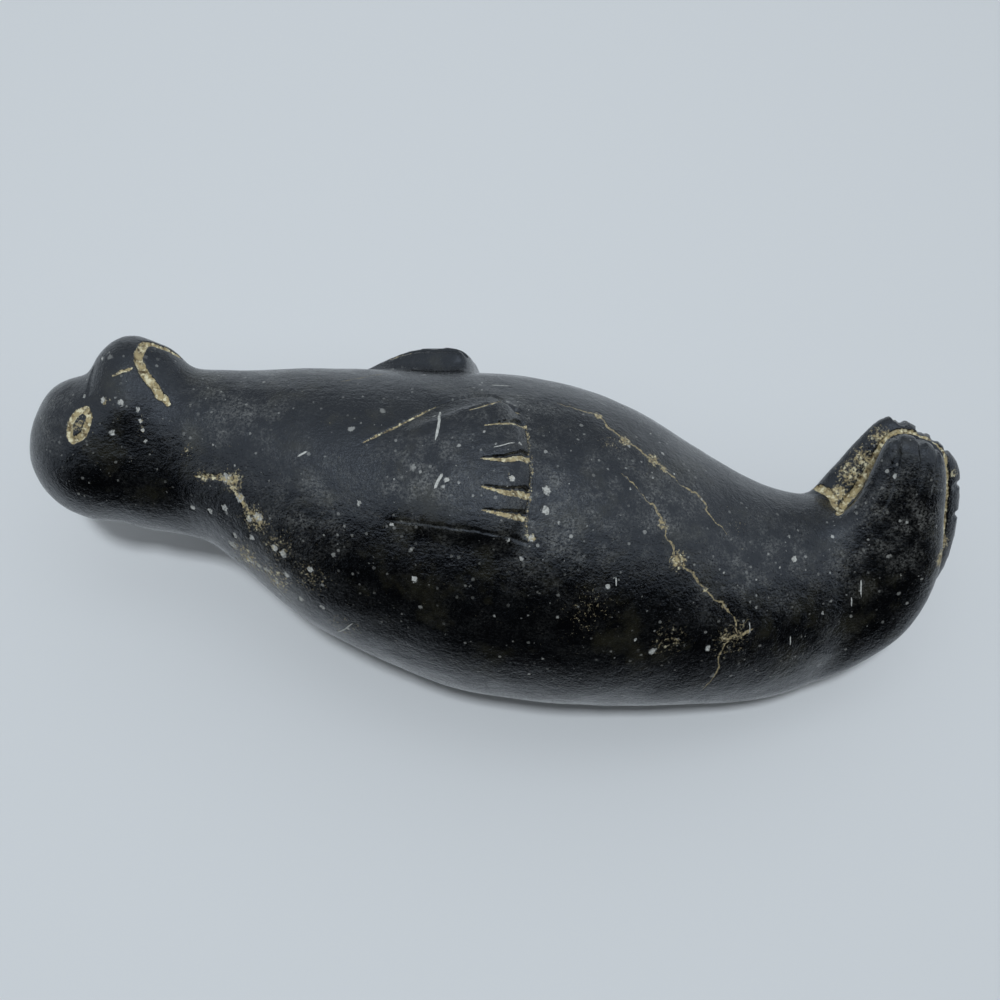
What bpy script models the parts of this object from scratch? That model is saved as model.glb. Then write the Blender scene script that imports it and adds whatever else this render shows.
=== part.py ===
"""A seal carved from one block of black stone and polished.

The seal lies on its back and left flank, as it does when it is laid down on a table. Its head is at -X
with the face bent up toward the belly, and its hind flippers curl up at +X. The right flank faces -Y.

The stone is shaped in the seal's own frame first: +X runs toward the tail, +Y to the seal's left and +Z
to its belly, with X = 0 near the crown of the head. Then the lines are carved, the seal is rolled onto
its flank, and the patch that it rests on is ground flat. All sizes are in millimetres.
"""

import math

import bmesh
import bpy
from mathutils import Matrix, Vector
from mathutils.bvhtree import BVHTree

MM = 0.001
RIGHT, LEFT = -1, 1  # sides of the seal along Y

# How the seal lies
ROLL_DEG = 52.0  # from belly up, toward its left flank
NOD_DEG = -1.5  # head end lowered
REST_FLAT_DEPTH = 1.4  # stone ground away where it rests

# Head: a round skull with the snout standing off it toward the belly
HEAD_ALONG = 17.4
HEAD_RISE = 11.6
HEAD_LENGTH = 31.4
HEAD_DEPTH = 30.8
HEAD_WIDTH = 29.0
BROW_ALONG = 13.4
BROW_RISE = 17.9
BROW_LENGTH = 19.0
BROW_DEPTH = 16.8
BROW_WIDTH = 20.0
SNOUT_ALONG = 23.8
SNOUT_RISE = 20.6
SNOUT_LENGTH = 19.4
SNOUT_DEPTH = 28.8
SNOUT_WIDTH = 22.0
CHIN_ALONG = 28.6
CHIN_RISE = 19.2
CHIN_LENGTH = 15.4
CHIN_DEPTH = 28.2
CHIN_WIDTH = 20.0

# Trunk, from inside the head to the root of the tail.
# Each station: distance along, rise toward the belly, half depth and half width.
TRUNK = (
    (14.0, 11.3, 10.0, 9.0),
    (20.0, 10.8, 15.2, 13.4),
    (26.2, 10.4, 16.8, 13.6),
    (32.2, 10.3, 17.2, 13.8),
    (38.1, 9.6, 17.9, 15.6),
    (43.9, 6.9, 20.2, 18.6),
    (49.7, 4.0, 23.0, 21.8),
    (55.6, 1.8, 25.6, 24.6),
    (61.6, -0.2, 27.5, 26.6),
    (67.5, -2.1, 29.0, 28.2),
    (75.6, -4.3, 30.8, 30.0),
    (85.7, -6.5, 32.7, 31.8),
    (95.9, -7.9, 33.7, 32.6),
    (107.1, -9.5, 33.7, 32.4),
    (116.4, -10.9, 32.8, 31.2),
    (125.7, -13.6, 30.6, 28.8),
    (135.1, -16.6, 27.6, 25.6),
    (144.6, -19.8, 24.8, 21.8),
    (154.0, -21.4, 22.6, 18.0),
    (162.0, -20.6, 20.6, 14.6),
    (169.0, -17.6, 16.0, 11.6),
)

# Hind flippers, curling up from the root of the tail. The left one is the broader of the two.
# Each station: distance along, rise, lean of its breadth away from upright in degrees, half breadth,
# half thickness and distance off the middle plane.
HIND_FLIPPER_RIGHT = (
    (148.0, -21.0, 3.0, 17.6, 7.4, 5.0),
    (157.0, -21.4, 10.0, 19.6, 7.4, 5.4),
    (164.0, -19.2, 28.0, 17.4, 7.0, 5.6),
    (171.0, -14.6, 44.0, 16.4, 6.3, 5.8),
    (175.9, -6.6, 62.0, 12.2, 5.6, 5.9),
    (176.6, 2.4, 67.0, 9.4, 5.1, 5.9),
    (177.5, 10.1, 69.0, 7.8, 4.5, 5.8),
    (178.2, 16.2, 68.0, 6.8, 3.6, 5.6),
)
HIND_FLIPPER_LEFT = (
    (148.0, -21.0, 3.0, 17.6, 7.4, 5.0),
    (157.0, -21.4, 10.0, 19.4, 7.4, 5.4),
    (165.0, -19.2, 28.0, 18.2, 7.0, 5.6),
    (171.6, -15.4, 46.0, 18.2, 6.3, 5.8),
    (176.6, -8.2, 60.0, 18.2, 5.6, 5.9),
    (179.6, 2.2, 62.0, 14.6, 5.1, 5.9),
    (181.6, 8.6, 60.0, 12.0, 4.5, 5.8),
    (183.0, 13.4, 56.0, 10.0, 3.6, 5.6),
)

# Fore flippers: raised blades laid along the flanks, with the claws at their ends
FLIPPER_ROOT_ALONG = 68.0
FLIPPER_CLAW_ALONG = 98.0
FLIPPER_ROOT_LOW_DEG = 22.0
FLIPPER_ROOT_HIGH_DEG = 46.0
FLIPPER_CLAW_LOW_DEG = 19.0
FLIPPER_CLAW_HIGH_DEG = 74.0
CLAW_BULGE = 4.0  # how far the middle claw stands past the outer ones
FLIPPER_RELIEF = 3.0
FLIPPER_SUNK = 4.0
FLIPPER_ROOT_SUNK = 1.2  # the root dives this far under the skin, so that the blade grows out of the flank
FLIPPER_RISE_SHARE = 0.64  # share of its length over which it rises to its full relief
LEFT_FLIPPER_SHIFT = -9.0  # the left one lies nearer the head
LEFT_FLIPPER_RELIEF = 5.5  # and stands off farther

# Carved lines. A line is gouged half as deep as it is wide.
EYE_UP_DEG = 36.5  # from the side of the head toward the face
EYE_FORWARD_DEG = 9.0  # toward the crown
EYE_LENGTH = 6.2
EYE_BREADTH = 4.3
EYE_TILT_DEG = 20.0
EYE_LINE_WIDTH = 1.2
MOUTH_ALONG = 26.2  # the middle of the lips
MOUTH_SWEEP = 6.0  # how far its corners lie behind the middle
MOUTH_TURN_DEG = 16.0  # how far the carver set it off the middle, toward the right cheek
MOUTH_HALF_TURN_DEG = 50.0
MOUTH_LINE_WIDTH = 2.0
BLADE_LINE_WIDTH = 1.1
CLAW_COUNT = 5
CLAW_LENGTH = 8.6
CLAW_SLOT_WIDTH = 2.2
CLAW_SLOT_SUNK = 0.5  # how far the middle of a slot lies under the face of the blade
SPLIT_HEART = (172.0, -6.0)  # along and rise of the middle that the split runs round
SPLIT_START_DEG = 142.0
SPLIT_END_DEG = -36.0
SPLIT_WIDTH = 2.4
HIP_LINE_ALONG = (160.2, 161.6, 163.0, 164.2, 165.0)  # from the left flipper to the right one
HIP_LINE_OFF_MIDDLE = (7.0, 3.4, 0.0, -4.0, -8.0)
HIP_LINE_RISE = (1.6, 1.2, 0.6, 0.4, -0.8)
HIP_LINE_WIDTH = 1.8
TOE_COUNT = 4
TOE_LINE_LENGTH = 9.0
TOE_LINE_WIDTH = 1.8
TOE_NOTCH_WIDTH = 1.8

TRIANGLES = 6800  # of the stone before its lines are carved
SKIN_GRAIN = 0.8  # how finely the skin is modelled
RING_POINTS = 16
CAGE_FULLNESS = 3.0 / (2.0 + math.cos(2.0 * math.pi / RING_POINTS))
CRUMB = 0.01  # edges shorter than this are closed up
REACH = 60.0  # where the chisel starts, clear of the stone
STONE_COLOUR = (0.012, 0.013, 0.016, 1.0)
STONE_ROUGHNESS = 0.3


def clear_scene():
    """Empty the scene."""
    for obj in list(bpy.data.objects):
        bpy.data.objects.remove(obj, do_unlink=True)


def new_collection(name):
    """Add a collection to the scene."""
    collection = bpy.data.collections.new(name)
    bpy.context.scene.collection.children.link(collection)
    return collection


def mesh_object(name, bm, collection):
    """Turn a bmesh into an object of the collection, with its faces turned outward."""
    bmesh.ops.recalc_face_normals(bm, faces=bm.faces)
    mesh = bpy.data.meshes.new(name)
    bm.to_mesh(mesh)
    bm.free()
    obj = bpy.data.objects.new(name, mesh)
    collection.objects.link(obj)
    return obj


def loft(name, rings, collection, levels):
    """Skin rings of equal point count into a closed form and round it by subdivision."""
    bm = bmesh.new()
    loops = [[bm.verts.new(point * MM) for point in ring] for ring in rings]
    for lower, upper in zip(loops, loops[1:]):
        count = len(lower)
        for i in range(count):
            j = (i + 1) % count
            bm.faces.new((lower[i], lower[j], upper[j], upper[i]))
    bm.faces.new(loops[0])
    bm.faces.new(loops[-1])
    obj = mesh_object(name, bm, collection)
    rounding = obj.modifiers.new("rounding", "SUBSURF")
    rounding.levels = levels
    rounding.render_levels = levels
    return obj


def ellipsoid(name, centre, length, width, depth, collection):
    """Make a closed egg form from a sphere."""
    bm = bmesh.new()
    bmesh.ops.create_uvsphere(bm, u_segments=40, v_segments=24, radius=0.5 * MM)
    bmesh.ops.scale(bm, vec=(length, width, depth), verts=bm.verts)
    bmesh.ops.translate(bm, vec=Vector(centre) * MM, verts=bm.verts)
    return mesh_object(name, bm, collection)


def oval_ring(centre, across, half_depth, half_width):
    """Points of an oval section, its depth along `across` and its width along Y."""
    ring = []
    for k in range(RING_POINTS):
        turn = 2.0 * math.pi * k / RING_POINTS
        ring.append(
            centre
            + across * (half_depth * CAGE_FULLNESS * math.sin(turn))
            + Vector((0.0, half_width * CAGE_FULLNESS * math.cos(turn), 0.0))
        )
    return ring


def make_trunk(collection):
    """Loft the trunk from the head to the root of the tail."""
    upright = Vector((0.0, 0.0, 1.0))
    rings = [
        oval_ring(Vector((along, 0.0, rise)), upright, depth, width)
        for along, rise, depth, width in TRUNK
    ]
    return loft("trunk", rings, collection, 2)


def make_hind_flipper(name, side, collection):
    """Loft one hind flipper: a thick paddle that turns up and thins toward its toes."""
    stations = HIND_FLIPPER_RIGHT if side < 0 else HIND_FLIPPER_LEFT
    rings = []
    for along, rise, lean_deg, breadth, thickness, off_middle in stations:
        lean = math.radians(lean_deg)
        across = Vector((-math.sin(lean), 0.0, math.cos(lean)))
        rings.append(oval_ring(Vector((along, side * off_middle, rise)), across, breadth, thickness))
    return loft(name, rings, collection, 2)


def trunk_section(along):
    """Centre and half sizes of the trunk at a distance along it."""
    for (a, b) in zip(TRUNK, TRUNK[1:]):
        if along <= b[0]:
            break
    t = (along - a[0]) / (b[0] - a[0])
    rise, depth, width = (a[i] + (b[i] - a[i]) * t for i in (1, 2, 3))
    return Vector((along, 0.0, rise)), depth, width


def on_trunk(along, turn_deg, side, proud):
    """Point on a flank: `turn_deg` runs from the side (0) to the belly (90), `proud` stands off it."""
    centre, depth, width = trunk_section(along)
    turn = math.radians(turn_deg)
    return centre + Vector(
        (0.0, side * (width + proud) * math.cos(turn), (depth + proud) * math.sin(turn))
    )


def flipper_edges(t):
    """Low and high edge of a fore flipper in degrees, from the root (t = 0) to the claws (t = 1)."""
    low = FLIPPER_ROOT_LOW_DEG + (FLIPPER_CLAW_LOW_DEG - FLIPPER_ROOT_LOW_DEG) * t
    high = FLIPPER_ROOT_HIGH_DEG + (FLIPPER_CLAW_HIGH_DEG - FLIPPER_ROOT_HIGH_DEG) * t**0.8
    return low, high


def flipper_rise(t, relief):
    """How far a fore flipper stands off the flank: it dives under the skin at its root."""
    return min(relief, (relief + FLIPPER_ROOT_SUNK) * t / FLIPPER_RISE_SHARE - FLIPPER_ROOT_SUNK)


def make_fore_flipper(name, side, collection):
    """Loft one fore flipper: a blade wrapped on the flank, broad and blunt at its claws."""
    shift = 0.0 if side < 0 else LEFT_FLIPPER_SHIFT
    relief = FLIPPER_RELIEF if side < 0 else LEFT_FLIPPER_RELIEF
    sections = 9
    across = 9
    rings = []
    for i in range(sections):
        t = i / (sections - 1)
        low, high = flipper_edges(t)
        ring = []
        for k in range(across):
            s = k / (across - 1)
            bulge = CLAW_BULGE * math.sin(math.pi * s) if i == sections - 1 else 0.0
            along = FLIPPER_ROOT_ALONG + (FLIPPER_CLAW_ALONG - FLIPPER_ROOT_ALONG) * t + bulge
            ring.append(on_trunk(along + shift, low + (high - low) * s, side, flipper_rise(t, relief)))
        for k in range(across):
            s = 1.0 - k / (across - 1)
            bulge = CLAW_BULGE * math.sin(math.pi * s) if i == sections - 1 else 0.0
            along = FLIPPER_ROOT_ALONG + (FLIPPER_CLAW_ALONG - FLIPPER_ROOT_ALONG) * t + bulge
            ring.append(on_trunk(along + shift, low + (high - low) * s, side, -FLIPPER_SUNK))
        rings.append(ring)
    return loft(name, rings, collection, 1)


def evaluated_copy(obj, name, collection):
    """A new object that holds an object's mesh with its modifiers applied."""
    bpy.context.view_layer.update()
    graph = bpy.context.evaluated_depsgraph_get()
    mesh = bpy.data.meshes.new_from_object(obj.evaluated_get(graph))
    mesh.name = name
    copy = bpy.data.objects.new(name, mesh)
    copy.matrix_world = obj.matrix_world
    collection.objects.link(copy)
    return copy


def unite(base, others):
    """Join forms that overlap into one closed body."""
    for other in others:
        union = base.modifiers.new(other.name, "BOOLEAN")
        union.operation = "UNION"
        union.solver = "EXACT"
        union.object = other


def rub_smooth(obj, passes):
    """Even out a form's skin and rub its joins smooth, as sanding does."""
    even = obj.modifiers.new("even", "REMESH")
    even.mode = "VOXEL"
    even.voxel_size = SKIN_GRAIN * MM
    sanding = obj.modifiers.new("sanding", "SMOOTH")
    sanding.factor = 0.5
    sanding.iterations = passes


def shape_stone(forms):
    """Join head, trunk and flippers, first the great forms and then the raised blades."""
    trunk = make_trunk(forms)
    unite(trunk, [
        ellipsoid("head", (HEAD_ALONG, 0.0, HEAD_RISE), HEAD_LENGTH, HEAD_WIDTH, HEAD_DEPTH, forms),
        ellipsoid("brow", (BROW_ALONG, 0.0, BROW_RISE), BROW_LENGTH, BROW_WIDTH, BROW_DEPTH, forms),
        ellipsoid("snout", (SNOUT_ALONG, 0.0, SNOUT_RISE), SNOUT_LENGTH, SNOUT_WIDTH, SNOUT_DEPTH, forms),
        ellipsoid("chin", (CHIN_ALONG, 0.0, CHIN_RISE), CHIN_LENGTH, CHIN_WIDTH, CHIN_DEPTH, forms),
        make_hind_flipper("hind_flipper_right", RIGHT, forms),
        make_hind_flipper("hind_flipper_left", LEFT, forms),
    ])
    rub_smooth(trunk, 24)
    rough = evaluated_copy(trunk, "great_forms", forms)
    unite(rough, [
        make_fore_flipper("fore_flipper_right", RIGHT, forms),
        make_fore_flipper("fore_flipper_left", LEFT, forms),
    ])
    rub_smooth(rough, 6)
    return evaluated_copy(rough, "uncut_stone", forms)


def thin_out(obj, triangles):
    """Thin a form's skin to about so many triangles."""
    corners = obj.modifiers.new("corners", "TRIANGULATE")
    corners.quad_method = "BEAUTY"
    obj.data.calc_loop_triangles()
    thinning = obj.modifiers.new("thinning", "DECIMATE")
    thinning.ratio = min(1.0, triangles / len(obj.data.loop_triangles))


class Skin:
    """The surface of the stone, for laying carved lines on it."""

    def __init__(self, obj):
        bpy.context.view_layer.update()
        self.tree = BVHTree.FromObject(obj, bpy.context.evaluated_depsgraph_get())

    def touch(self, centre, direction):
        """Where a chisel that comes from outside toward a centre first touches, and the way out there.

        Past the rim of a form the chisel meets nothing, and the line turns over the rim's nearest point.
        """
        outward = direction.normalized()
        start = (centre + outward * REACH) * MM
        point, normal, _, _ = self.tree.ray_cast(start, -outward)
        if point is None:
            return self.nearest(centre)
        return point / MM, normal

    def nearest(self, place):
        """The touch that lies nearest to a place, and the way out there."""
        point, normal, _, _ = self.tree.find_nearest(place * MM)
        return point / MM, normal


def gouge(name, touches, widths, cutters, closed=False):
    """A round bar laid half into the skin along a carved line."""
    curve = bpy.data.curves.new(name, "CURVE")
    curve.dimensions = "3D"
    curve.bevel_depth = 0.5 * MM
    curve.bevel_resolution = 1
    curve.use_fill_caps = True
    spline = curve.splines.new("POLY")
    spline.points.add(len(touches) - 1)
    for bead, (point, _), width in zip(spline.points, touches, widths):
        bead.co = (*(point * MM), 1.0)
        bead.radius = width
    spline.use_cyclic_u = closed
    bar = bpy.data.objects.new(name, curve)
    cutters.objects.link(bar)
    solid = evaluated_copy(bar, name + "_gouge", cutters)
    bpy.data.objects.remove(bar, do_unlink=True)
    bm = bmesh.new()
    bm.from_mesh(solid.data)
    bmesh.ops.remove_doubles(bm, verts=bm.verts, dist=0.001 * MM)
    bmesh.ops.recalc_face_normals(bm, faces=bm.faces)
    bm.to_mesh(solid.data)
    bm.free()
    return solid


def fading(count, width, start, end):
    """Widths along a line that narrows to these shares of its width at its two ends."""
    widths = []
    for i in range(count):
        t = i / (count - 1)
        share = min(1.0, start + 3.0 * t * (1.0 - start), end + 3.0 * (1.0 - t) * (1.0 - end))
        widths.append(width * share)
    return widths


def carve_eye(skin, side, cutters):
    """The ring round one eye."""
    centre = Vector((HEAD_ALONG, 0.0, HEAD_RISE))
    up = math.radians(EYE_UP_DEG)
    forward = math.radians(EYE_FORWARD_DEG)
    level = math.cos(forward)
    look = Vector((-math.sin(forward), side * level * math.cos(up), level * math.sin(up)))
    reach = (skin.touch(centre, look)[0] - centre).length
    along = Vector((1.0, 0.0, 0.0))
    long_axis = (along.cross(look) * -side).normalized()
    short_axis = look.cross(long_axis).normalized() * side
    tilt = math.radians(EYE_TILT_DEG)
    touches = []
    for k in range(20):
        turn = 2.0 * math.pi * k / 20
        u = 0.5 * EYE_LENGTH * math.cos(turn)
        v = 0.5 * EYE_BREADTH * math.sin(turn)
        spread = long_axis * (u * math.cos(tilt) - v * math.sin(tilt)) + short_axis * (
            u * math.sin(tilt) + v * math.cos(tilt)
        )
        touches.append(skin.touch(centre, look * reach + spread))
    gouge("eye", touches, [EYE_LINE_WIDTH] * len(touches), cutters, closed=True)


def carve_mouth(skin, cutters):
    """The mouth: one line from cheek to cheek round the chin."""
    touches = []
    for k in range(25):
        t = 2.0 * k / 24 - 1.0
        turn = math.radians(MOUTH_HALF_TURN_DEG * t - MOUTH_TURN_DEG)
        centre = Vector((MOUTH_ALONG + MOUTH_SWEEP * abs(t) ** 2.2, 0.0, CHIN_RISE))
        touches.append(skin.touch(centre, Vector((0.0, math.sin(turn), math.cos(turn)))))
    gouge("mouth", touches, fading(len(touches), MOUTH_LINE_WIDTH, 0.75, 0.75), cutters)


def carve_claws(side, cutters):
    """The claws of one fore flipper: slots that widen toward its end and run out over it."""
    shift = 0.0 if side < 0 else LEFT_FLIPPER_SHIFT
    relief = FLIPPER_RELIEF if side < 0 else LEFT_FLIPPER_RELIEF
    length = FLIPPER_CLAW_ALONG - FLIPPER_ROOT_ALONG
    steps = 6
    for i in range(CLAW_COUNT):
        s = (i + 1.0) / (CLAW_COUNT + 0.6)
        end = FLIPPER_CLAW_ALONG + CLAW_BULGE * math.sin(math.pi * s) + CLAW_SLOT_WIDTH
        touches = []
        for k in range(steps + 1):
            along = end - (CLAW_LENGTH + CLAW_SLOT_WIDTH) * (1.0 - k / steps)
            low, high = flipper_edges(min(1.0, (along - FLIPPER_ROOT_ALONG) / length))
            point = on_trunk(along + shift, low + (high - low) * s, side, relief - CLAW_SLOT_SUNK)
            touches.append((point, None))
        widths = [CLAW_SLOT_WIDTH * (0.25 + 0.75 * k / steps) for k in range(steps + 1)]
        gouge("claw_slot", touches, widths, cutters)


def carve_blade_line(skin, side, cutters):
    """The line scribed along the upper edge of one fore flipper."""
    shift = 0.0 if side < 0 else LEFT_FLIPPER_SHIFT
    relief = FLIPPER_RELIEF if side < 0 else LEFT_FLIPPER_RELIEF
    touches = []
    for k in range(14):
        t = 0.12 + 0.82 * k / 13
        along = FLIPPER_ROOT_ALONG + (FLIPPER_CLAW_ALONG - FLIPPER_ROOT_ALONG) * t
        rim = on_trunk(along + shift, flipper_edges(t)[1], side, flipper_rise(t, relief))
        touches.append(skin.nearest(rim))
    gouge("blade_line", touches, fading(len(touches), BLADE_LINE_WIDTH, 0.5, 0.7), cutters)


def carve_split(skin, cutters):
    """The gap between the hind flippers, from the hip over the toes and down their outer edge."""
    heart = Vector((SPLIT_HEART[0], 0.0, SPLIT_HEART[1]))
    touches = []
    for k in range(30):
        turn = math.radians(SPLIT_START_DEG + (SPLIT_END_DEG - SPLIT_START_DEG) * k / 29)
        touches.append(skin.touch(heart, Vector((math.cos(turn), 0.0, math.sin(turn)))))
    gouge("split", touches, fading(len(touches), SPLIT_WIDTH, 0.8, 0.4), cutters)
    places = zip(HIP_LINE_ALONG, HIP_LINE_OFF_MIDDLE, HIP_LINE_RISE)
    touches = [skin.nearest(Vector(place)) for place in places]
    gouge("hip_line", touches, fading(len(touches), HIP_LINE_WIDTH, 0.5, 0.5), cutters)


def hind_station(stations, reach):
    """Centre, breadth direction and half breadth at a distance below the toe tips."""
    rows = list(reversed(stations))
    for upper, lower in zip(rows, rows[1:]):
        step = math.hypot(upper[0] - lower[0], upper[1] - lower[1])
        if reach <= step:
            break
        reach -= step
    t = reach / step
    along, rise, lean_deg, breadth = (upper[i] + (lower[i] - upper[i]) * t for i in range(4))
    lean = math.radians(lean_deg)
    return Vector((along, 0.0, rise)), Vector((-math.sin(lean), 0.0, math.cos(lean))), breadth


def carve_toes(skin, side, cutters):
    """The lines between the toes on the outer face of one hind flipper."""
    stations = HIND_FLIPPER_RIGHT if side < 0 else HIND_FLIPPER_LEFT
    for i in range(1, TOE_COUNT):
        share = 1.0 - 2.0 * i / TOE_COUNT
        touches = []
        for k in range(12):
            centre, across, breadth = hind_station(stations, TOE_LINE_LENGTH * k / 11)
            touches.append(skin.touch(centre + across * (share * breadth), Vector((0.0, side, 0.0))))
        gouge("toe_line", touches, fading(len(touches), TOE_LINE_WIDTH, 0.8, 0.2), cutters)


def carve_toe_notches(skin, side, cutters):
    """The notches between the toes in the rim of one hind flipper."""
    stations = HIND_FLIPPER_RIGHT if side < 0 else HIND_FLIPPER_LEFT
    along, rise, lean_deg, breadth, thickness, off_middle = stations[-1]
    lean = math.radians(lean_deg)
    across = Vector((-math.sin(lean), 0.0, math.cos(lean)))
    outward = Vector((math.cos(lean), 0.0, math.sin(lean)))
    for i in range(1, TOE_COUNT):
        share = 1.0 - 2.0 * i / TOE_COUNT
        touches = []
        for k in range(7):
            off = off_middle + thickness * (2.0 * k / 6 - 1.0)
            middle = Vector((along, side * off, rise)) + across * (share * breadth)
            touches.append(skin.touch(middle, outward))
        gouge("toe_notch", touches, [TOE_NOTCH_WIDTH] * len(touches), cutters)


def tidy_skin(obj):
    """Take out the crumbs that carving leaves along the edges of its cuts."""
    bm = bmesh.new()
    bm.from_mesh(obj.data)
    bmesh.ops.triangulate(bm, faces=bm.faces[:], quad_method="BEAUTY", ngon_method="BEAUTY")
    bmesh.ops.dissolve_degenerate(bm, dist=CRUMB * MM, edges=bm.edges)
    bmesh.ops.triangulate(bm, faces=bm.faces[:], quad_method="BEAUTY", ngon_method="BEAUTY")
    bm.to_mesh(obj.data)
    bm.free()


def lay_down(obj):
    """Roll the seal onto its flank, grind the flat that it rests on and stand it on the ground."""
    mesh = obj.data
    pose = Matrix.Rotation(math.radians(NOD_DEG), 4, "Y") @ Matrix.Rotation(math.radians(-ROLL_DEG), 4, "X")
    mesh.transform(pose)
    bm = bmesh.new()
    bm.from_mesh(mesh)
    level = min(vert.co.z for vert in bm.verts) + REST_FLAT_DEPTH * MM
    cut = bmesh.ops.bisect_plane(
        bm,
        geom=bm.verts[:] + bm.edges[:] + bm.faces[:],
        dist=0.01 * MM,
        plane_co=(0.0, 0.0, level),
        plane_no=(0.0, 0.0, 1.0),
        clear_inner=True,
    )
    rim = [item for item in cut["geom_cut"] if isinstance(item, bmesh.types.BMEdge)]
    bmesh.ops.edgeloop_fill(bm, edges=rim)
    for vert in bm.verts:
        if vert.co.z < level + 0.01 * MM:
            vert.co.z = level
    bmesh.ops.recalc_face_normals(bm, faces=bm.faces)
    xs = [vert.co.x for vert in bm.verts]
    ys = [vert.co.y for vert in bm.verts]
    middle = Vector((0.5 * (min(xs) + max(xs)), 0.5 * (min(ys) + max(ys)), level))
    bmesh.ops.translate(bm, vec=-middle, verts=bm.verts)
    bm.to_mesh(mesh)
    bm.free()


def paint(obj):
    """Give the seal its polished black stone."""
    stone = bpy.data.materials.new("polished_black_stone")
    stone.use_nodes = True
    shader = stone.node_tree.nodes["Principled BSDF"]
    shader.inputs["Base Color"].default_value = STONE_COLOUR
    shader.inputs["Roughness"].default_value = STONE_ROUGHNESS
    obj.data.materials.clear()
    obj.data.materials.append(stone)


def main():
    """Shape the stone, carve its lines and lay it down."""
    clear_scene()
    forms = new_collection("forms")
    cutters = new_collection("cutters")
    seal_parts = new_collection("seal")
    stone = shape_stone(forms)
    skin = Skin(stone)
    carve_mouth(skin, cutters)
    carve_split(skin, cutters)
    for side in (RIGHT, LEFT):
        carve_eye(skin, side, cutters)
        carve_claws(side, cutters)
        carve_blade_line(skin, side, cutters)
        carve_toes(skin, side, cutters)
        carve_toe_notches(skin, side, cutters)
    thin_out(stone, TRIANGLES)
    carving = stone.modifiers.new("carving", "BOOLEAN")
    carving.operation = "DIFFERENCE"
    carving.solver = "EXACT"
    carving.operand_type = "COLLECTION"
    carving.collection = cutters
    seal = evaluated_copy(stone, "seal", seal_parts)
    tidy_skin(seal)
    lay_down(seal)
    paint(seal)
    seal.data.shade_smooth()
    seal.data.set_sharp_from_angle(angle=math.radians(40.0))
    for obj in list(forms.objects) + list(cutters.objects):
        obj.hide_render = True
        obj.display_type = "WIRE"
    return seal


main()
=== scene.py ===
"""The looks of a seal carved from one block of black stone, cut with a few lines and polished by hand.

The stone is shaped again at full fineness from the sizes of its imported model. Then its lines, chips and
veins are worked into the skin, and it is laid down on its flank as the model lies. Sizes are in
millimetres in the seal's own frame: +X runs to the tail, +Y to the seal's left, +Z to its belly.
"""

import logging
import math
from contextlib import contextmanager
from dataclasses import dataclass, field, replace
from enum import Enum
from functools import partial
from typing import Iterator, Sequence

import bpy
import numpy as np
from bpy.types import Material, NodeSocket, NodeTree, Object
from mathutils import Matrix, Vector, noise
from mathutils.bvhtree import BVHTree

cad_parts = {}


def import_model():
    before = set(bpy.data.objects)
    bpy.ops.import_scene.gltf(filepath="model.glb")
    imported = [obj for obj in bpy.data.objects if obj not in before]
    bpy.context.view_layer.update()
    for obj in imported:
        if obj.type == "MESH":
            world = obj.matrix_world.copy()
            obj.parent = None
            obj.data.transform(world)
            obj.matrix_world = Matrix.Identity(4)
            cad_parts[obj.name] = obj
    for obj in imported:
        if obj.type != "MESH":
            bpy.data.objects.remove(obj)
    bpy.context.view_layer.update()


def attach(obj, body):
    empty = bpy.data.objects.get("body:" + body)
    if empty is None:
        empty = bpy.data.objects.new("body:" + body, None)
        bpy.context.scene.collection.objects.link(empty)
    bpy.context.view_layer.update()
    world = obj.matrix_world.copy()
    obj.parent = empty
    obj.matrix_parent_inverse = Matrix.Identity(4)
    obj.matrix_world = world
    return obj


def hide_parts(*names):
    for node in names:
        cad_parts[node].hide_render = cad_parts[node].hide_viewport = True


MM = 0.001
LOG = logging.getLogger("seal")
Point = tuple[float, float, float]


class Side(Enum):
    """The two sides of the seal along Y."""

    RIGHT = -1
    LEFT = 1


class Line(Enum):
    """What a line on the skin is."""

    CUT = "cut"  # gouged, with raw stone and old dirt in it
    CREASE = "crease"  # gouged and polished over
    VEIN = "vein"  # flush mineral vein
    SCRATCH = "scratch"  # fine pale scratch


def linear(hex_colour: str) -> tuple[float, float, float, float]:
    """Turn an sRGB hex colour into linear RGBA.

    Args:
        hex_colour: Six hex digits, such as "15181d".

    Returns:
        Linear red, green, blue and an alpha of 1.
    """
    channels = [int(hex_colour[i : i + 2], 16) / 255.0 for i in (0, 2, 4)]
    turned = [c / 12.92 if c <= 0.04045 else ((c + 0.055) / 1.055) ** 2.4 for c in channels]
    return (turned[0], turned[1], turned[2], 1.0)


def take_up(obj: Object) -> None:
    """Select one object alone and make it active."""
    bpy.ops.object.select_all(action="DESELECT")
    obj.select_set(True)
    bpy.context.view_layer.objects.active = obj


@contextmanager
def editing(obj: Object) -> Iterator[None]:
    """Edit an object with all of its mesh selected."""
    take_up(obj)
    bpy.ops.object.mode_set(mode="EDIT")
    bpy.ops.mesh.select_all(action="SELECT")
    yield
    bpy.ops.object.mode_set(mode="OBJECT")


def face_outward(obj: Object) -> None:
    """Turn all faces of an object outward."""
    with editing(obj):
        bpy.ops.mesh.normals_make_consistent(inside=False)


def apply_modifier(obj: Object, kind: str, **settings: object) -> None:
    """Add a modifier with its settings and apply it.

    Args:
        obj: The object to change.
        kind: Blender's modifier type.
        settings: Values for the modifier's properties.
    """
    modifier = obj.modifiers.new(kind.lower(), kind)
    for name, value in settings.items():
        setattr(modifier, name, value)
    take_up(obj)
    bpy.ops.object.modifier_apply(modifier=modifier.name)


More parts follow.
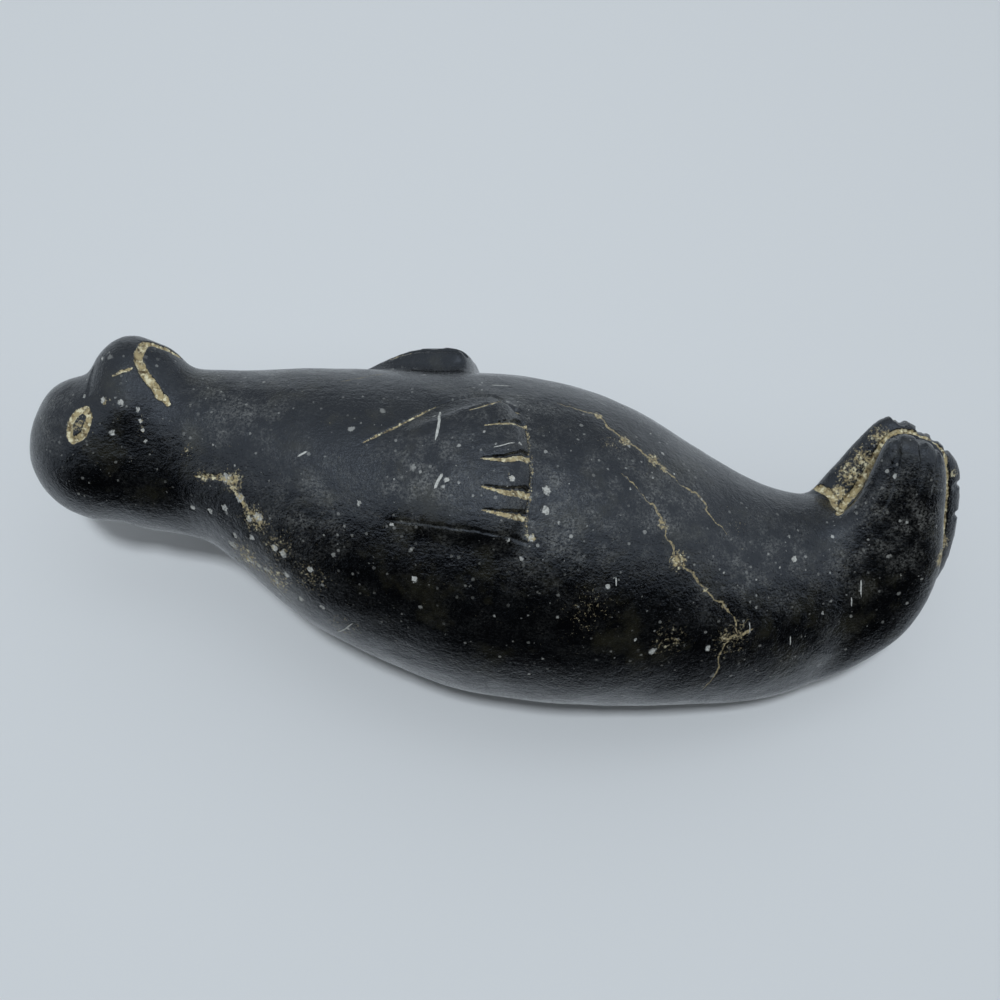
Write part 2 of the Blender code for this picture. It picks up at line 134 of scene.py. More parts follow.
def vertex_array(obj: Object, what: str = "co") -> np.ndarray:
    """Read the vertices of an object as an array.

    Args:
        obj: The object to read.
        what: "co" for places in metres, "normal" for vertex normals.

    Returns:
        An array of shape (vertices, 3).
    """
    flat = np.empty(len(obj.data.vertices) * 3, dtype=np.float32)
    if what == "normal":
        obj.data.vertex_normals.foreach_get("vector", flat)
    else:
        obj.data.vertices.foreach_get("co", flat)
    return flat.reshape(-1, 3).astype(np.float64)


def put_vertices(obj: Object, places: np.ndarray) -> None:
    """Write vertex places in metres back to an object."""
    obj.data.vertices.foreach_set("co", places.astype(np.float32).ravel())
    obj.data.update()


def smooth_step(low: float, high: float, value: np.ndarray) -> np.ndarray:
    """Ease from 0 at `low` to 1 at `high`."""
    t = np.clip((value - low) / (high - low), 0.0, 1.0)
    return t * t * (3.0 - 2.0 * t)


@dataclass(frozen=True)
class Station:
    """One oval section of a loft."""

    along: float
    rise: float
    half_depth: float
    half_width: float
    lean_deg: float = 0.0
    off_middle: float = 0.0


@dataclass
class Loft:
    """A form made by extruding an oval from station to station and rounding it."""

    name: str
    stations: Sequence[Station]
    ring_points: int = 16

    def fullness(self) -> float:
        """How far the cage stands outside the rounded form."""
        return 3.0 / (2.0 + math.cos(2.0 * math.pi / self.ring_points))

    def build(self) -> Object:
        """Extrude the sections one after another.

        Returns:
            The rounded, closed form.
        """
        full = self.fullness()
        bpy.ops.object.select_all(action="DESELECT")
        upright = (0.0, math.radians(90.0), 0.0)
        bpy.ops.mesh.primitive_circle_add(
            vertices=self.ring_points, radius=MM, fill_type="NGON", rotation=upright
        )
        obj = bpy.context.object
        obj.name = self.name
        bpy.ops.object.transform_apply(location=True, rotation=True, scale=True)
        here, size, lean = Vector((0.0, 0.0, 0.0)), (1.0, 1.0), 0.0
        with editing(obj):
            for i, station in enumerate(self.stations):
                if i:
                    bpy.ops.mesh.extrude_region_move()
                there = Vector((station.along, station.off_middle, station.rise)) * MM
                wanted = (station.half_width * full, station.half_depth * full)
                if lean:
                    self._turn(-lean, here)
                stretch = (1.0, wanted[0] / size[0], wanted[1] / size[1])
                bpy.ops.transform.resize(value=stretch, center_override=here)
                if station.lean_deg:
                    self._turn(station.lean_deg, here)
                bpy.ops.transform.translate(value=there - here)
                here, size, lean = there, wanted, station.lean_deg
        face_outward(obj)
        apply_modifier(obj, "SUBSURF", levels=2, render_levels=2)
        return obj

    @staticmethod
    def _turn(lean_deg: float, centre: Vector) -> None:
        """Lean the selected section away from upright about Y."""
        angle = math.radians(lean_deg)
        bpy.ops.transform.rotate(value=angle, orient_axis="Y", center_override=centre)


@dataclass(frozen=True)
class Egg:
    """An egg form inside the head."""

    name: str
    along: float
    rise: float
    length: float
    width: float
    depth: float

    def build(self) -> Object:
        """Stretch a sphere to the egg's size and set it in its place."""
        bpy.ops.object.select_all(action="DESELECT")
        bpy.ops.mesh.primitive_uv_sphere_add(segments=40, ring_count=24, radius=0.5 * MM)
        obj = bpy.context.object
        obj.name = self.name
        with editing(obj):
            bpy.ops.transform.resize(value=(self.length, self.width, self.depth))
            bpy.ops.transform.translate(value=(self.along * MM, 0.0, self.rise * MM))
        return obj


@dataclass
class Head:
    """The head: skull and brow, with the snout and chin standing off them toward the belly."""

    skull: Egg = Egg("skull", 17.4, 11.6, 31.4, 29.0, 30.8)
    brow: Egg = Egg("brow", 13.4, 17.9, 19.0, 20.0, 16.8)
    snout: Egg = Egg("snout", 23.8, 20.6, 19.4, 22.0, 28.8)
    chin: Egg = Egg("chin", 28.6, 19.2, 15.4, 20.0, 28.2)

    def build(self) -> list[Object]:
        """Build the four egg forms."""
        return [egg.build() for egg in (self.skull, self.brow, self.snout, self.chin)]


@dataclass
class Trunk:
    """The body from inside the head to the root of the tail."""

    # Distance along, rise of the middle, half depth and half width of each section.
    sections: Sequence[tuple[float, float, float, float]] = (
        (14.0, 11.3, 10.0, 9.0), (20.0, 10.8, 15.2, 13.4), (26.2, 10.4, 16.8, 13.6),
        (32.2, 10.3, 17.2, 13.8), (38.1, 9.6, 17.9, 15.6), (43.9, 6.9, 20.2, 18.6),
        (49.7, 4.0, 23.0, 21.8), (55.6, 1.8, 25.6, 24.6), (61.6, -0.2, 27.5, 26.6),
        (67.5, -2.1, 29.0, 28.2), (75.6, -4.3, 30.8, 30.0), (85.7, -6.5, 32.7, 31.8),
        (95.9, -7.9, 33.7, 32.6), (107.1, -9.5, 33.7, 32.4), (116.4, -10.9, 32.8, 31.2),
        (125.7, -13.6, 30.6, 28.8), (135.1, -16.6, 27.6, 25.6), (144.6, -19.8, 24.8, 21.8),
        (154.0, -21.4, 22.6, 18.0), (162.0, -20.6, 20.6, 14.6), (169.0, -17.6, 16.0, 11.6),
    )

    def build(self) -> Object:
        """Loft the trunk."""
        return Loft("trunk", [Station(*section) for section in self.sections]).build()

    def on_flank(self, along: float, turn_deg: float, side: Side, proud: float) -> Vector:
        """Find a point on a flank.

        Args:
            along: Distance along the trunk in millimetres.
            turn_deg: From the side (0) toward the belly (90).
            side: Which flank.
            proud: How far the point stands off the flank.

        Returns:
            The point in millimetres.
        """
        for a, b in zip(self.sections, self.sections[1:]):
            if along <= b[0]:
                break
        t = (along - a[0]) / (b[0] - a[0])
        rise, depth, width = (a[i] + (b[i] - a[i]) * t for i in (1, 2, 3))
        turn = math.radians(turn_deg)
        across, up = width + proud, depth + proud
        return Vector((along, side.value * across * math.cos(turn), rise + up * math.sin(turn)))


@dataclass
class HindFlippers:
    """The two hind flippers that curl up from the root of the tail. The left one is the broader."""

    # Distance along, rise, lean in degrees and half breadth of each section.
    right: Sequence[tuple[float, float, float, float]] = (
        (148.0, -21.0, 3.0, 17.6), (157.0, -21.4, 10.0, 19.6), (164.0, -19.2, 28.0, 17.4),
        (171.0, -14.6, 44.0, 16.4), (175.9, -6.6, 62.0, 12.2), (176.6, 2.4, 67.0, 9.4),
        (177.5, 10.1, 69.0, 7.8), (178.2, 16.2, 68.0, 6.8),
    )
    left: Sequence[tuple[float, float, float, float]] = (
        (148.0, -21.0, 3.0, 17.6), (157.0, -21.4, 10.0, 19.4), (165.0, -19.2, 28.0, 18.2),
        (171.6, -15.4, 46.0, 18.2), (176.6, -8.2, 60.0, 18.2), (179.6, 2.2, 62.0, 14.6),
        (181.6, 8.6, 60.0, 12.0), (183.0, 13.4, 56.0, 10.0),
    )
    # Half thickness and distance off the middle of each section, alike on both sides.
    flat: Sequence[tuple[float, float]] = (
        (7.4, 5.0), (7.4, 5.4), (7.0, 5.6), (6.3, 5.8), (5.6, 5.9), (5.1, 5.9), (4.5, 5.8), (3.6, 5.6),
    )

    def build(self) -> list[Object]:
        """Loft both flippers."""
        made = []
        for side, rows in ((Side.RIGHT, self.right), (Side.LEFT, self.left)):
            stations = [
                Station(along, rise, breadth, thickness, lean, side.value * off)
                for (along, rise, lean, breadth), (thickness, off) in zip(rows, self.flat)
            ]
            made.append(Loft(f"hind_flipper_{side.name.lower()}", stations).build())
        return made


@dataclass
class ForeFlipper:
    """A raised blade laid along a flank, broad and blunt at its claws."""

    side: Side
    trunk: Trunk
    relief: float = 3.0
    shift: float = 0.0
    sunk: float = 4.0
    root_along: float = 68.0
    claw_along: float = 98.0
    root_degrees: tuple[float, float] = (22.0, 46.0)
    claw_degrees: tuple[float, float] = (19.0, 74.0)
    claw_bulge: float = 4.0
    root_sunk: float = 1.2
    rise_share: float = 0.64
    cells: int = 8

    def edges(self, t: float) -> tuple[float, float]:
        """Low and high edge in degrees, from the root (t = 0) to the claws (t = 1)."""
        low = self.root_degrees[0] + (self.claw_degrees[0] - self.root_degrees[0]) * t
        high = self.root_degrees[1] + (self.claw_degrees[1] - self.root_degrees[1]) * t**0.8
        return low, high

    def build(self) -> Object:
        """Wrap a slab round the flank.

        Returns:
            The closed blade.
        """
        bpy.ops.object.select_all(action="DESELECT")
        bpy.ops.mesh.primitive_grid_add(x_subdivisions=self.cells, y_subdivisions=self.cells, size=1.0)
        obj = bpy.context.object
        obj.name = f"fore_flipper_{self.side.name.lower()}"
        with editing(obj):
            bpy.ops.mesh.extrude_region_move(TRANSFORM_OT_translate={"value": (0.0, 0.0, 1.0)})
        places = vertex_array(obj)
        for row in places:
            t, s, outer = row[0] + 0.5, row[1] + 0.5, row[2] > 0.5
            low, high = self.edges(min(1.0, max(0.0, t)))
            bulge = self.claw_bulge * math.sin(math.pi * s) if t > 0.99 else 0.0
            along = self.root_along + (self.claw_along - self.root_along) * t + bulge + self.shift
            rise = min(self.relief, (self.relief + self.root_sunk) * t / self.rise_share - self.root_sunk)
            proud = rise if outer else -self.sunk
            row[:] = self.trunk.on_flank(along, low + (high - low) * s, self.side, proud) * MM
        put_vertices(obj, places)
        face_outward(obj)
        apply_modifier(obj, "SUBSURF", levels=1, render_levels=1)
        return obj


@dataclass
class Stroke:
    """One line worked into the skin, given by the places that it passes."""

    STEP = 0.35  # spacing of its points, in millimetres
    DRIFT, SHAKE = 0.55, 1.7  # waves a millimetre of the hand's slow drift and quick shake

    kind: Line
    places: Sequence[Point]
    width: float
    depth: float = 0.0
    ends: tuple[float, float] = (0.3, 0.3)  # share of the width that is left at its ends
    lean: float = 0.0  # side of the sloping wall where the raw stone shows, -1 or 1
    strength: float = 1.0
    wedge: bool = False  # widens evenly from its first place to its last
    closed: bool = False
    wander: float = 0.06

    def curve(self, skin: BVHTree) -> np.ndarray:
        """Draw the line smoothly through its places, on the skin.

        Args:
            skin: The skin that it lies on, in metres.

        Returns:
            Points in millimetres.
        """
        marks = [Vector(place) for place in self.places]
        if self.closed:
            run = [marks[-1], *marks, marks[0], marks[1]]
        else:
            run = [marks[0] * 2.0 - marks[1], *marks, marks[-1] * 2.0 - marks[-2]]
        points: list[Vector] = []
        for a, b, c, d in zip(run, run[1:], run[2:], run[3:]):
            steps = max(2, int((c - b).length / self.STEP))
            bend, twist = 2.0 * a - 5.0 * b + 4.0 * c - d, 3.0 * b - a - 3.0 * c + d
            for t in (k / steps for k in range(steps)):
                points.append(0.5 * (2.0 * b + (c - a) * t + bend * t * t + twist * t * t * t))
        points.append(marks[0 if self.closed else -1])
        laid = []
        for point in points:
            drift = noise.noise_vector(point * self.DRIFT) * self.wander * 2.0
            shake = noise.noise_vector(point * self.SHAKE) * self.wander
            laid.append(skin.find_nearest((point + (drift + shake)) * MM)[0] / MM)
        return np.array(laid)

    def fade(self, along: np.ndarray) -> np.ndarray:
        """How much of the width is there along the line.

        Args:
            along: Places on it, as shares of its length.

        Returns:
            The share of its width at each place.
        """
        start, end = self.ends
        if self.wedge:
            return start + (end - start) * along**0.8
        if self.closed:
            return np.ones(len(along))
        return np.minimum(1.0, np.minimum(start + along * 5.0, end + (1.0 - along) * 5.0))


@dataclass(frozen=True)
class Spot:
    """A round place on the skin: a chip, a soiled patch, or an area of dust and pale painted sheen."""

    place: Point
    radius: float
    # For a dust_and_sheen spot the strength is also how thick the painted sheen lies.
    strength: float  # a chip's depth in millimetres, or how thick soil or dust lies
    stretch: Point = (1.0, 1.0, 1.0)

    def radii(self, places: np.ndarray) -> np.ndarray:
        """How far points lie from its middle, in its own radii."""
        offset = (places - np.array(self.place)) / np.array(self.stretch)
        return np.linalg.norm(offset, axis=1) / self.radius


@dataclass
class Features:
    """The lines, spots and veins of the seal, where the picture shows them, and plainer ones behind."""

    trunk: Trunk
    blades: Sequence[ForeFlipper]

    def strokes(self) -> list[Stroke]:
        """Draw all lines, in the order in which they are worked."""
        paddles = [stroke for blade in self.blades for stroke in self.fore_flipper(blade)]
        return self.face() + paddles + self.hind_flippers() + self.veins() + self.scratches()

    def face(self) -> list[Stroke]:
        """The mouth, the eyes and the creases round the snout."""
        mouth = (
            (32.2, -9.0, 23.3), (31.4, -8.5, 24.0), (30.2, -7.9, 25.3), (28.9, -7.6, 27.2),
            (27.6, -6.9, 29.0), (26.5, -5.8, 30.8), (26.4, -4.0, 32.2), (27.0, -1.6, 33.2),
            (28.4, -0.5, 32.9), (30.4, -0.2, 31.9), (32.2, 0.6, 30.8), (33.6, 1.8, 29.8),
        )
        nose = (
            (22.0, -8.2, 28.8), (22.9, -8.0, 29.1), (23.7, -7.9, 29.6), (24.7, -7.6, 29.7),
            (25.6, -7.4, 30.2),
        )
        brow = ((17.2, -3.5, 29.4), (16.9, -5.6, 27.3), (17.1, -8.0, 24.8))
        strokes = [
            Stroke(Line.CUT, mouth, 1.9, 0.7, (0.55, 0.35), wander=0.12),
            Stroke(Line.CUT, nose, 0.7, 0.14, (0.4, 0.5), strength=0.72),
            Stroke(Line.CREASE, brow, 1.6, 0.2),
        ]
        for side in Side:
            ring = []
            for k in range(12):
                turn = 2.0 * math.pi * k / 12
                u, v = 3.2 * math.sin(turn), 1.75 * math.cos(turn)
                off = side.value * (11.6 - 0.4 * u + 0.2 * v)
                ring.append((15.4 + 0.40 * u + 0.9 * v, off, 20.2 + 0.82 * u - 0.38 * v))
            strokes.append(Stroke(Line.CUT, ring, 1.5, 0.38, closed=True, wander=0.14))
        crack = (
            (37.6, -15.4, 11.0), (41.0, -16.8, 11.4), (44.6, -18.3, 11.3), (46.8, -19.7, 8.6),
            (49.0, -21.0, 5.8),
        )
        strokes.append(Stroke(Line.CUT, crack, 1.3, 0.25, (0.2, 0.3), strength=0.6, wander=0.35))
        return strokes

    def fore_flipper(self, blade: ForeFlipper) -> list[Stroke]:
        """The claw slots and the scribed outline of one fore flipper.

        Args:
            blade: The flipper.

        Returns:
            Its lines.
        """
        strokes = []
        side = blade.side
        if side is Side.RIGHT:
            slots = (
                ((90.3, -15.9, 24.8), (94.0, -13.5, 24.8), (96.2, -12.0, 24.4), (98.4, -12.0, 23.4)),
                ((93.1, -19.2, 22.9), (96.8, -17.3, 22.0), (98.4, -16.1, 21.6), (99.9, -15.2, 21.4)),
                ((92.4, -24.6, 18.4), (96.8, -23.9, 17.8), (98.6, -22.8, 17.5), (100.3, -21.6, 17.2)),
                ((92.6, -28.2, 14.2), (96.8, -27.8, 12.9), (98.6, -26.8, 12.3), (100.3, -26.0, 11.8)),
                ((92.8, -30.5, 10.4), (96.8, -29.4, 9.1), (98.2, -28.8, 8.7), (99.6, -28.2, 8.3)),
            )
            widths = (3.0, 2.2, 2.8, 2.7, 2.3)
            edge = (
                (70.3, -19.0, 19.1), (77.1, -15.8, 21.8), (84.5, -10.8, 24.1), (88.6, -8.6, 24.6),
                (93.0, -7.2, 24.7), (95.5, -7.7, 24.5), (97.8, -11.0, 24.2), (99.5, -13.0, 22.9),
                (100.6, -14.8, 21.2),
            )
            blade_end = (
                (100.9, -15.2, 20.9), (101.3, -19.0, 18.4), (101.4, -22.0, 15.6), (101.3, -24.7, 12.2),
                (100.9, -27.7, 8.8), (100.6, -29.6, 4.6),
            )
            strokes.append(Stroke(Line.CUT, blade_end, 0.9, 0.35, (0.8, 0.6), strength=0.38))
            low_edge = (
                (74.7, -27.6, 7.2), (81.3, -29.5, 7.2), (88.6, -31.6, 7.1), (95.9, -32.0, 5.9),
                (100.5, -30.0, 3.6),
            )
            strokes.append(Stroke(Line.CREASE, low_edge, 1.0, 0.3, (0.2, 0.8)))
        else:
            start, length = blade.root_along + blade.shift, blade.claw_along - blade.root_along
            slots = []
            for s in ((i + 1.0) / 5.6 for i in range(5)):
                end = blade.claw_along + blade.claw_bulge * math.sin(math.pi * s)
                run = []
                for along in (end - 8.6, end - 4.6, end - 2.2, end):
                    low, high = blade.edges(min(1.0, (along - blade.root_along) / length))
                    turn = low + (high - low) * s
                    run.append(tuple(self.trunk.on_flank(along + blade.shift, turn, side, blade.relief)))
                slots.append(run)
            widths = (2.3,) * 5
            edge = tuple(
                tuple(self.trunk.on_flank(start + length * t, blade.edges(t)[1], side, blade.relief))
                for t in (0.1, 0.35, 0.6, 0.85, 1.0)
            )
        claw = partial(Stroke, depth=0.85, ends=(0.18, 1.0), lean=1.0, strength=0.9, wedge=True, wander=0.04)
        strokes += [claw(Line.CUT, run, width) for run, width in zip(slots, widths)]
        strokes.append(Stroke(Line.CREASE, edge, 0.8, 0.25, (0.3, 0.4)))
        strokes.append(Stroke(Line.CUT, edge[:3], 0.6, 0.15, (0.3, 0.1), strength=0.66))
        return strokes

    def hind_flippers(self) -> list[Stroke]:
        """The split between the hind flippers, the lines between their toes and the notches in their rims."""
        hip = (
            (160.0, 6.8, 1.0), (162.4, 4.4, 0.4), (164.0, 2.4, -0.1), (164.7, -1.5, -0.6),
            (164.6, -4.6, -1.6),
        )
        rim = (
            (164.9, -4.0, -1.6), (166.2, -1.0, -0.6), (168.6, 1.2, 1.6), (170.8, 1.9, 5.2),
            (172.6, 2.5, 9.0), (173.9, 3.1, 12.2), (175.6, 3.5, 13.3), (178.0, 3.5, 13.5),
            (181.0, 3.4, 12.7), (184.0, 4.2, 11.2), (186.2, 3.8, 8.8), (186.9, 2.8, 4.6),
            (187.4, 2.8, 0.2), (187.8, 2.6, -4.2), (188.2, 2.5, -9.0),
        )
        strokes = [
            Stroke(Line.CUT, hip, 1.9, 0.55, (0.25, 1.0), strength=0.9),
            Stroke(Line.CUT, rim[:6], 1.7, 0.75, (1.0, 0.7), strength=0.9, wander=0.16),
            Stroke(Line.CUT, rim[5:], 1.15, 0.6, (1.0, 0.6), strength=0.85, wander=0.12),
        ]
        toes = (
            ((173.4, -4.4, 16.2), (173.2, -7.6, 14.6), (173.1, -9.2, 10.9), (172.2, -9.8, 5.0),
             (170.6, -10.0, -1.0)),
            ((178.3, -3.4, 15.9), (178.2, -7.9, 14.0), (178.2, -9.6, 10.6), (177.6, -10.0, 5.0),
             (176.2, -10.4, -1.0)),
            ((181.8, -3.4, 14.4), (181.4, -7.4, 12.0), (180.8, -9.0, 7.4), (180.2, -9.6, 3.0)),
        )
        for right, width, depth in zip(toes, (3.0, 2.8, 2.4), (0.95, 0.9, 0.6)):
            left = [(x + 4.0, -y + 0.5, z - 1.0) for x, y, z in right]
            for run in (right, left):
                strokes.append(Stroke(Line.CREASE, run, width, depth, (1.0, 0.05), wedge=True))
        notches = (
            ((176.4, 9.6, 15.6), (176.4, 5.0, 15.9)), ((183.0, 9.4, 12.6), (182.9, 5.0, 12.8)),
            ((187.2, 9.0, 8.4), (187.2, 4.6, 8.9)), ((190.0, 8.0, 1.6), (189.8, 3.4, 1.6)),
            ((190.9, 8.0, -5.2), (190.8, 3.6, -5.2)),
        )
        return strokes + [Stroke(Line.CREASE, run, 2.0, 0.55, (0.7, 1.0)) for run in notches]

    def veins(self) -> list[Stroke]:
        """The two tan veins down the hindquarters and the fine one on the belly."""
        upper = (
            (107.1, -6.8, 23.2), (110.9, -7.6, 21.6), (114.9, -7.8, 20.7), (117.4, -10.6, 18.8),
            (119.8, -12.0, 17.1), (122.6, -12.4, 15.4), (125.7, -13.0, 13.3), (128.6, -13.7, 11.1),
            (131.9, -14.3, 8.5), (134.9, -14.5, 6.1), (136.3, -16.4, 3.4), (139.7, -17.1, 0.0),
        )
        lower = (
            (119.0, -19.0, 13.2), (122.6, -20.3, 9.8), (125.3, -21.5, 6.7), (126.4, -22.5, 4.1),
            (128.8, -24.0, -1.0), (130.2, -24.6, -3.4), (133.1, -24.3, -6.1), (135.1, -24.2, -8.7),
            (138.9, -23.3, -12.5), (141.3, -22.7, -15.9), (142.1, -22.5, -19.2),
        )
        fork = (
            (142.1, -22.5, -19.2), (140.1, -23.3, -19.9), (138.7, -23.4, -23.1), (138.6, -22.6, -26.4),
            (137.4, -21.6, -29.8), (135.7, -20.5, -32.5),
        )
        twig = ((145.4, -21.4, -18.6), (142.1, -22.5, -19.4), (138.4, -23.9, -19.2))
        belly = ((64.8, -4.2, 26.4), (69.4, -0.8, 26.6), (74.0, 2.8, 26.3))
        return [
            Stroke(Line.VEIN, upper, 0.4, 0.04, (0.3, 0.2), wander=0.32),
            Stroke(Line.VEIN, lower, 0.38, 0.04, (0.15, 0.5), wander=0.32),
            Stroke(Line.VEIN, fork, 0.4, 0.04, (0.6, 0.15), wander=0.2),
            Stroke(Line.VEIN, twig, 0.6, 0.04, (0.2, 0.2), wander=0.3),
            Stroke(Line.VEIN, belly, 0.26, 0.0, (0.2, 0.2), strength=0.6, wander=0.2),
        ]

    def scratches(self) -> list[Stroke]:
        """Fine pale scratches."""
        runs = (
            (((84.5, -13.0, 23.2), (84.7, -16.4, 22.9), (84.4, -19.0, 22.4), (83.9, -21.2, 20.8)), 0.55),
            (((85.3, -26.2, 16.0), (84.6, -26.9, 14.8), (83.9, -27.5, 13.4)), 0.6),
            (((117.4, -29.6, -3.5), (117.4, -29.9, -5.2)), 0.25),
            (((166.3, -12.4, -16.2), (166.5, -12.4, -18.0)), 0.25),
            (((144.5, -21.5, -16.9), (144.7, -21.5, -19.5)), 0.22),
            (((153.5, -18.0, -22.0), (153.7, -17.8, -24.1)), 0.25),
            (((167.9, -11.8, -12.4), (168.2, -12.1, -15.8)), 0.3),
            (((50.9, -18.8, -8.7), (53.7, -18.4, -12.8), (56.3, -18.8, -14.9)), 0.22),
            (((58.2, -20.0, 16.9), (59.9, -19.6, 17.8)), 0.4),
            (((64.1, -19.9, -19.9), (65.8, -22.2, -18.0), (67.5, -24.4, -15.8)), 0.3),
            (((94.8, -22.6, 19.4), (98.6, -21.2, 20.0)), 0.2),
            (((94.2, -2.4, 25.6), (97.6, -2.2, 25.2)), 0.3),
        )
        return [Stroke(Line.SCRATCH, run, width, ends=(0.4, 0.3)) for run, width in runs]

    def chips(self) -> list[Spot]:
        """Pits, flakes and pale spots where the picture shows them, each with its place and radius."""
        rows = (
            (16.1, -7.8, 24.5, 0.42), (19.2, -4.4, 31.3, 0.5), (20.8, -4.3, 32.5, 0.4),
            (23.8, -10.3, 24.1, 0.75), (21.9, -11.9, 18.8, 0.7), (20.6, -9.6, 24.4, 0.65),
            (26.6, -10.2, 22.7, 0.5), (27.2, -10.7, 20.8, 0.5), (27.6, -11.4, 19.1, 0.45),
            (28.0, -12.3, 17.1, 0.5), (44.1, -17.9, 11.7, 1.2), (46.8, -19.7, 8.4, 1.0),
            (36.3, -14.3, 4.1, 0.7), (40.1, -16.1, 4.2, 0.6), (43.3, -18.0, 5.6, 0.8),
            (50.3, -21.7, 5.3, 1.1), (48.4, -20.8, 4.5, 0.8), (43.8, -16.0, -3.0, 1.2),
            (44.2, -13.1, -7.5, 1.0), (47.4, -17.6, -5.7, 1.2), (50.8, -19.7, -6.8, 1.0),
            (53.2, -22.9, -0.5, 0.8), (54.9, -23.6, -1.5, 0.9), (60.1, -25.5, -3.9, 0.8),
            (46.0, -15.5, -6.5, 0.8), (49.2, -18.6, -6.2, 0.7), (52.0, -20.0, -9.5, 0.9),
            (55.5, -22.0, -6.0, 0.8), (48.8, -20.0, 0.5, 0.7), (57.5, -21.5, -12.0, 0.8),
            (62.0, -23.0, -12.5, 0.7), (45.2, -17.5, 0.0, 0.7), (69.9, -25.9, 9.7, 0.65),
            (66.5, -22.8, -17.7, 0.5), (76.0, -28.1, 6.4, 0.5), (60.7, -21.0, 16.1, 0.3),
            (80.0, -30.5, -3.6, 0.6), (125.6, -5.0, 16.2, 0.35), (153.9, -13.9, -6.9, 0.75),
            (150.9, -15.9, -7.9, 0.25), (115.9, -30.3, -5.0, 0.55), (125.1, -28.0, -20.0, 0.95),
            (121.6, -29.3, -16.7, 0.4), (107.4, -32.0, -10.1, 0.35), (160.3, -15.0, -18.2, 0.45),
            (136.1, -24.6, -20.9, 0.7), (134.9, -14.5, 6.1, 0.4), (104.6, -24.9, 12.0, 0.95),
            (104.4, -27.1, 9.0, 0.85), (86.1, -27.1, 15.1, 0.6), (97.9, -26.2, 14.8, 0.7),
            (99.6, -20.6, 19.6, 0.4), (101.6, -29.6, 4.4, 0.7), (97.2, -30.6, 4.6, 0.5),
            (120.5, 1.9, 19.3, 0.4),
        )
        return [Spot((x, y, z), radius, 0.09 + 0.07 * radius) for x, y, z, radius in rows]

    def dust_and_sheen_spots(self) -> list[Spot]:
        """Where dust dulls the wax, and where pale dust is laid over the lit areas as a painted highlight,
        with soft edges.
        """
        rows = (
            (82.0, -26.0, 14.0, 16.0, 0.8), (60.0, -22.0, 8.0, 15.0, 0.6), (108.0, -26.0, 8.0, 20.0, 0.8),
            (98.0, -12.0, 22.0, 18.0, 0.7), (126.0, -18.0, 6.0, 18.0, 0.7),
            (150.0, -16.0, -6.0, 16.0, 0.6), (46.0, -8.0, 20.0, 18.0, 0.6),
            (141.0, -22.0, -6.0, 13.0, 0.9), (176.0, -9.0, 0.0, 17.0, 0.9),
            (166.0, -12.0, -8.0, 12.0, 0.7), (158.0, -10.0, -28.0, 14.0, 0.5),
            (6.0, -8.0, 20.0, 12.0, 0.6), (52.0, -18.0, -9.0, 13.0, 1.1), (60.0, -22.0, 14.0, 10.0, 0.4),
            (120.0, -14.0, 10.0, 14.0, 0.4),
        )
        return [Spot(row[:3], *row[3:]) for row in rows]

    def soils(self) -> list[Spot]:
        """Where raw stone and dust show in specks: along the veins, in the hollows and behind the head."""
        rows = (
            (114.9, -7.8, 20.7, 1.9, 0.66), (119.8, -12.0, 17.1, 2.2, 0.64),
            (125.2, -12.8, 13.5, 2.6, 0.64), (127.6, -13.6, 11.9, 1.8, 0.64),
            (126.5, -22.5, 4.1, 2.0, 0.62), (129.5, -24.6, -2.4, 3.0, 0.7),
            (122.0, -13.0, 13.0, 3.0, 0.34), (117.0, -14.0, 17.6, 3.4, 0.3),
            (135.1, -24.2, -8.7, 1.2, 0.55), (138.9, -23.3, -12.5, 1.2, 0.5),
            (142.1, -22.5, -19.2, 2.6, 0.42), (139.2, -23.6, -19.2, 1.8, 0.55),
            (168.2, 4.4, 4.2, 4.6, 0.72), (165.6, 2.6, 0.6, 2.8, 0.75), (170.6, 4.6, 7.4, 4.4, 0.7),
            (173.4, 4.4, 12.0, 3.8, 0.62), (176.0, 6.4, 15.2, 2.0, 0.5), (188.6, 3.2, 4.6, 2.2, 0.5),
            (188.4, 1.6, -10.8, 3.4, 0.9), (184.4, -7.4, -9.4, 3.2, 0.82), (45.4, -18.9, 11.6, 3.8, 0.56),
            (39.0, -16.0, 11.4, 2.6, 0.42), (49.6, -21.2, 4.6, 5.0, 0.5), (47.0, -17.4, -5.0, 7.0, 0.46),
            (52.4, -20.4, -8.4, 7.0, 0.42), (54.0, -23.0, 0.0, 6.0, 0.33), (60.0, -24.6, -6.0, 7.0, 0.3),
            (36.4, -13.4, 15.4, 2.4, 0.36), (66.0, -22.0, -17.0, 7.0, 0.28),
            (21.0, -10.0, 24.4, 2.0, 0.5), (23.0, -9.0, 30.8, 2.2, 0.34), (141.0, -23.0, -20.0, 7.0, 0.3),
            (128.0, -27.4, -18.0, 6.0, 0.3), (112.0, -31.0, -10.0, 8.0, 0.22),
            (131.0, -12.0, 4.0, 5.0, 0.24), (144.0, -16.0, 2.0, 6.0, 0.22), (98.0, -26.0, 14.9, 1.6, 0.5),
            (15.4, -11.6, 20.2, 2.6, 0.5), (101.6, -29.6, 4.4, 1.6, 0.5),
        )
        jaw = Spot((27.4, -11.2, 19.6), 2.2, 0.42, (0.45, 1.0, 1.7))
        return [jaw] + [Spot(row[:3], *row[3:]) for row in rows]


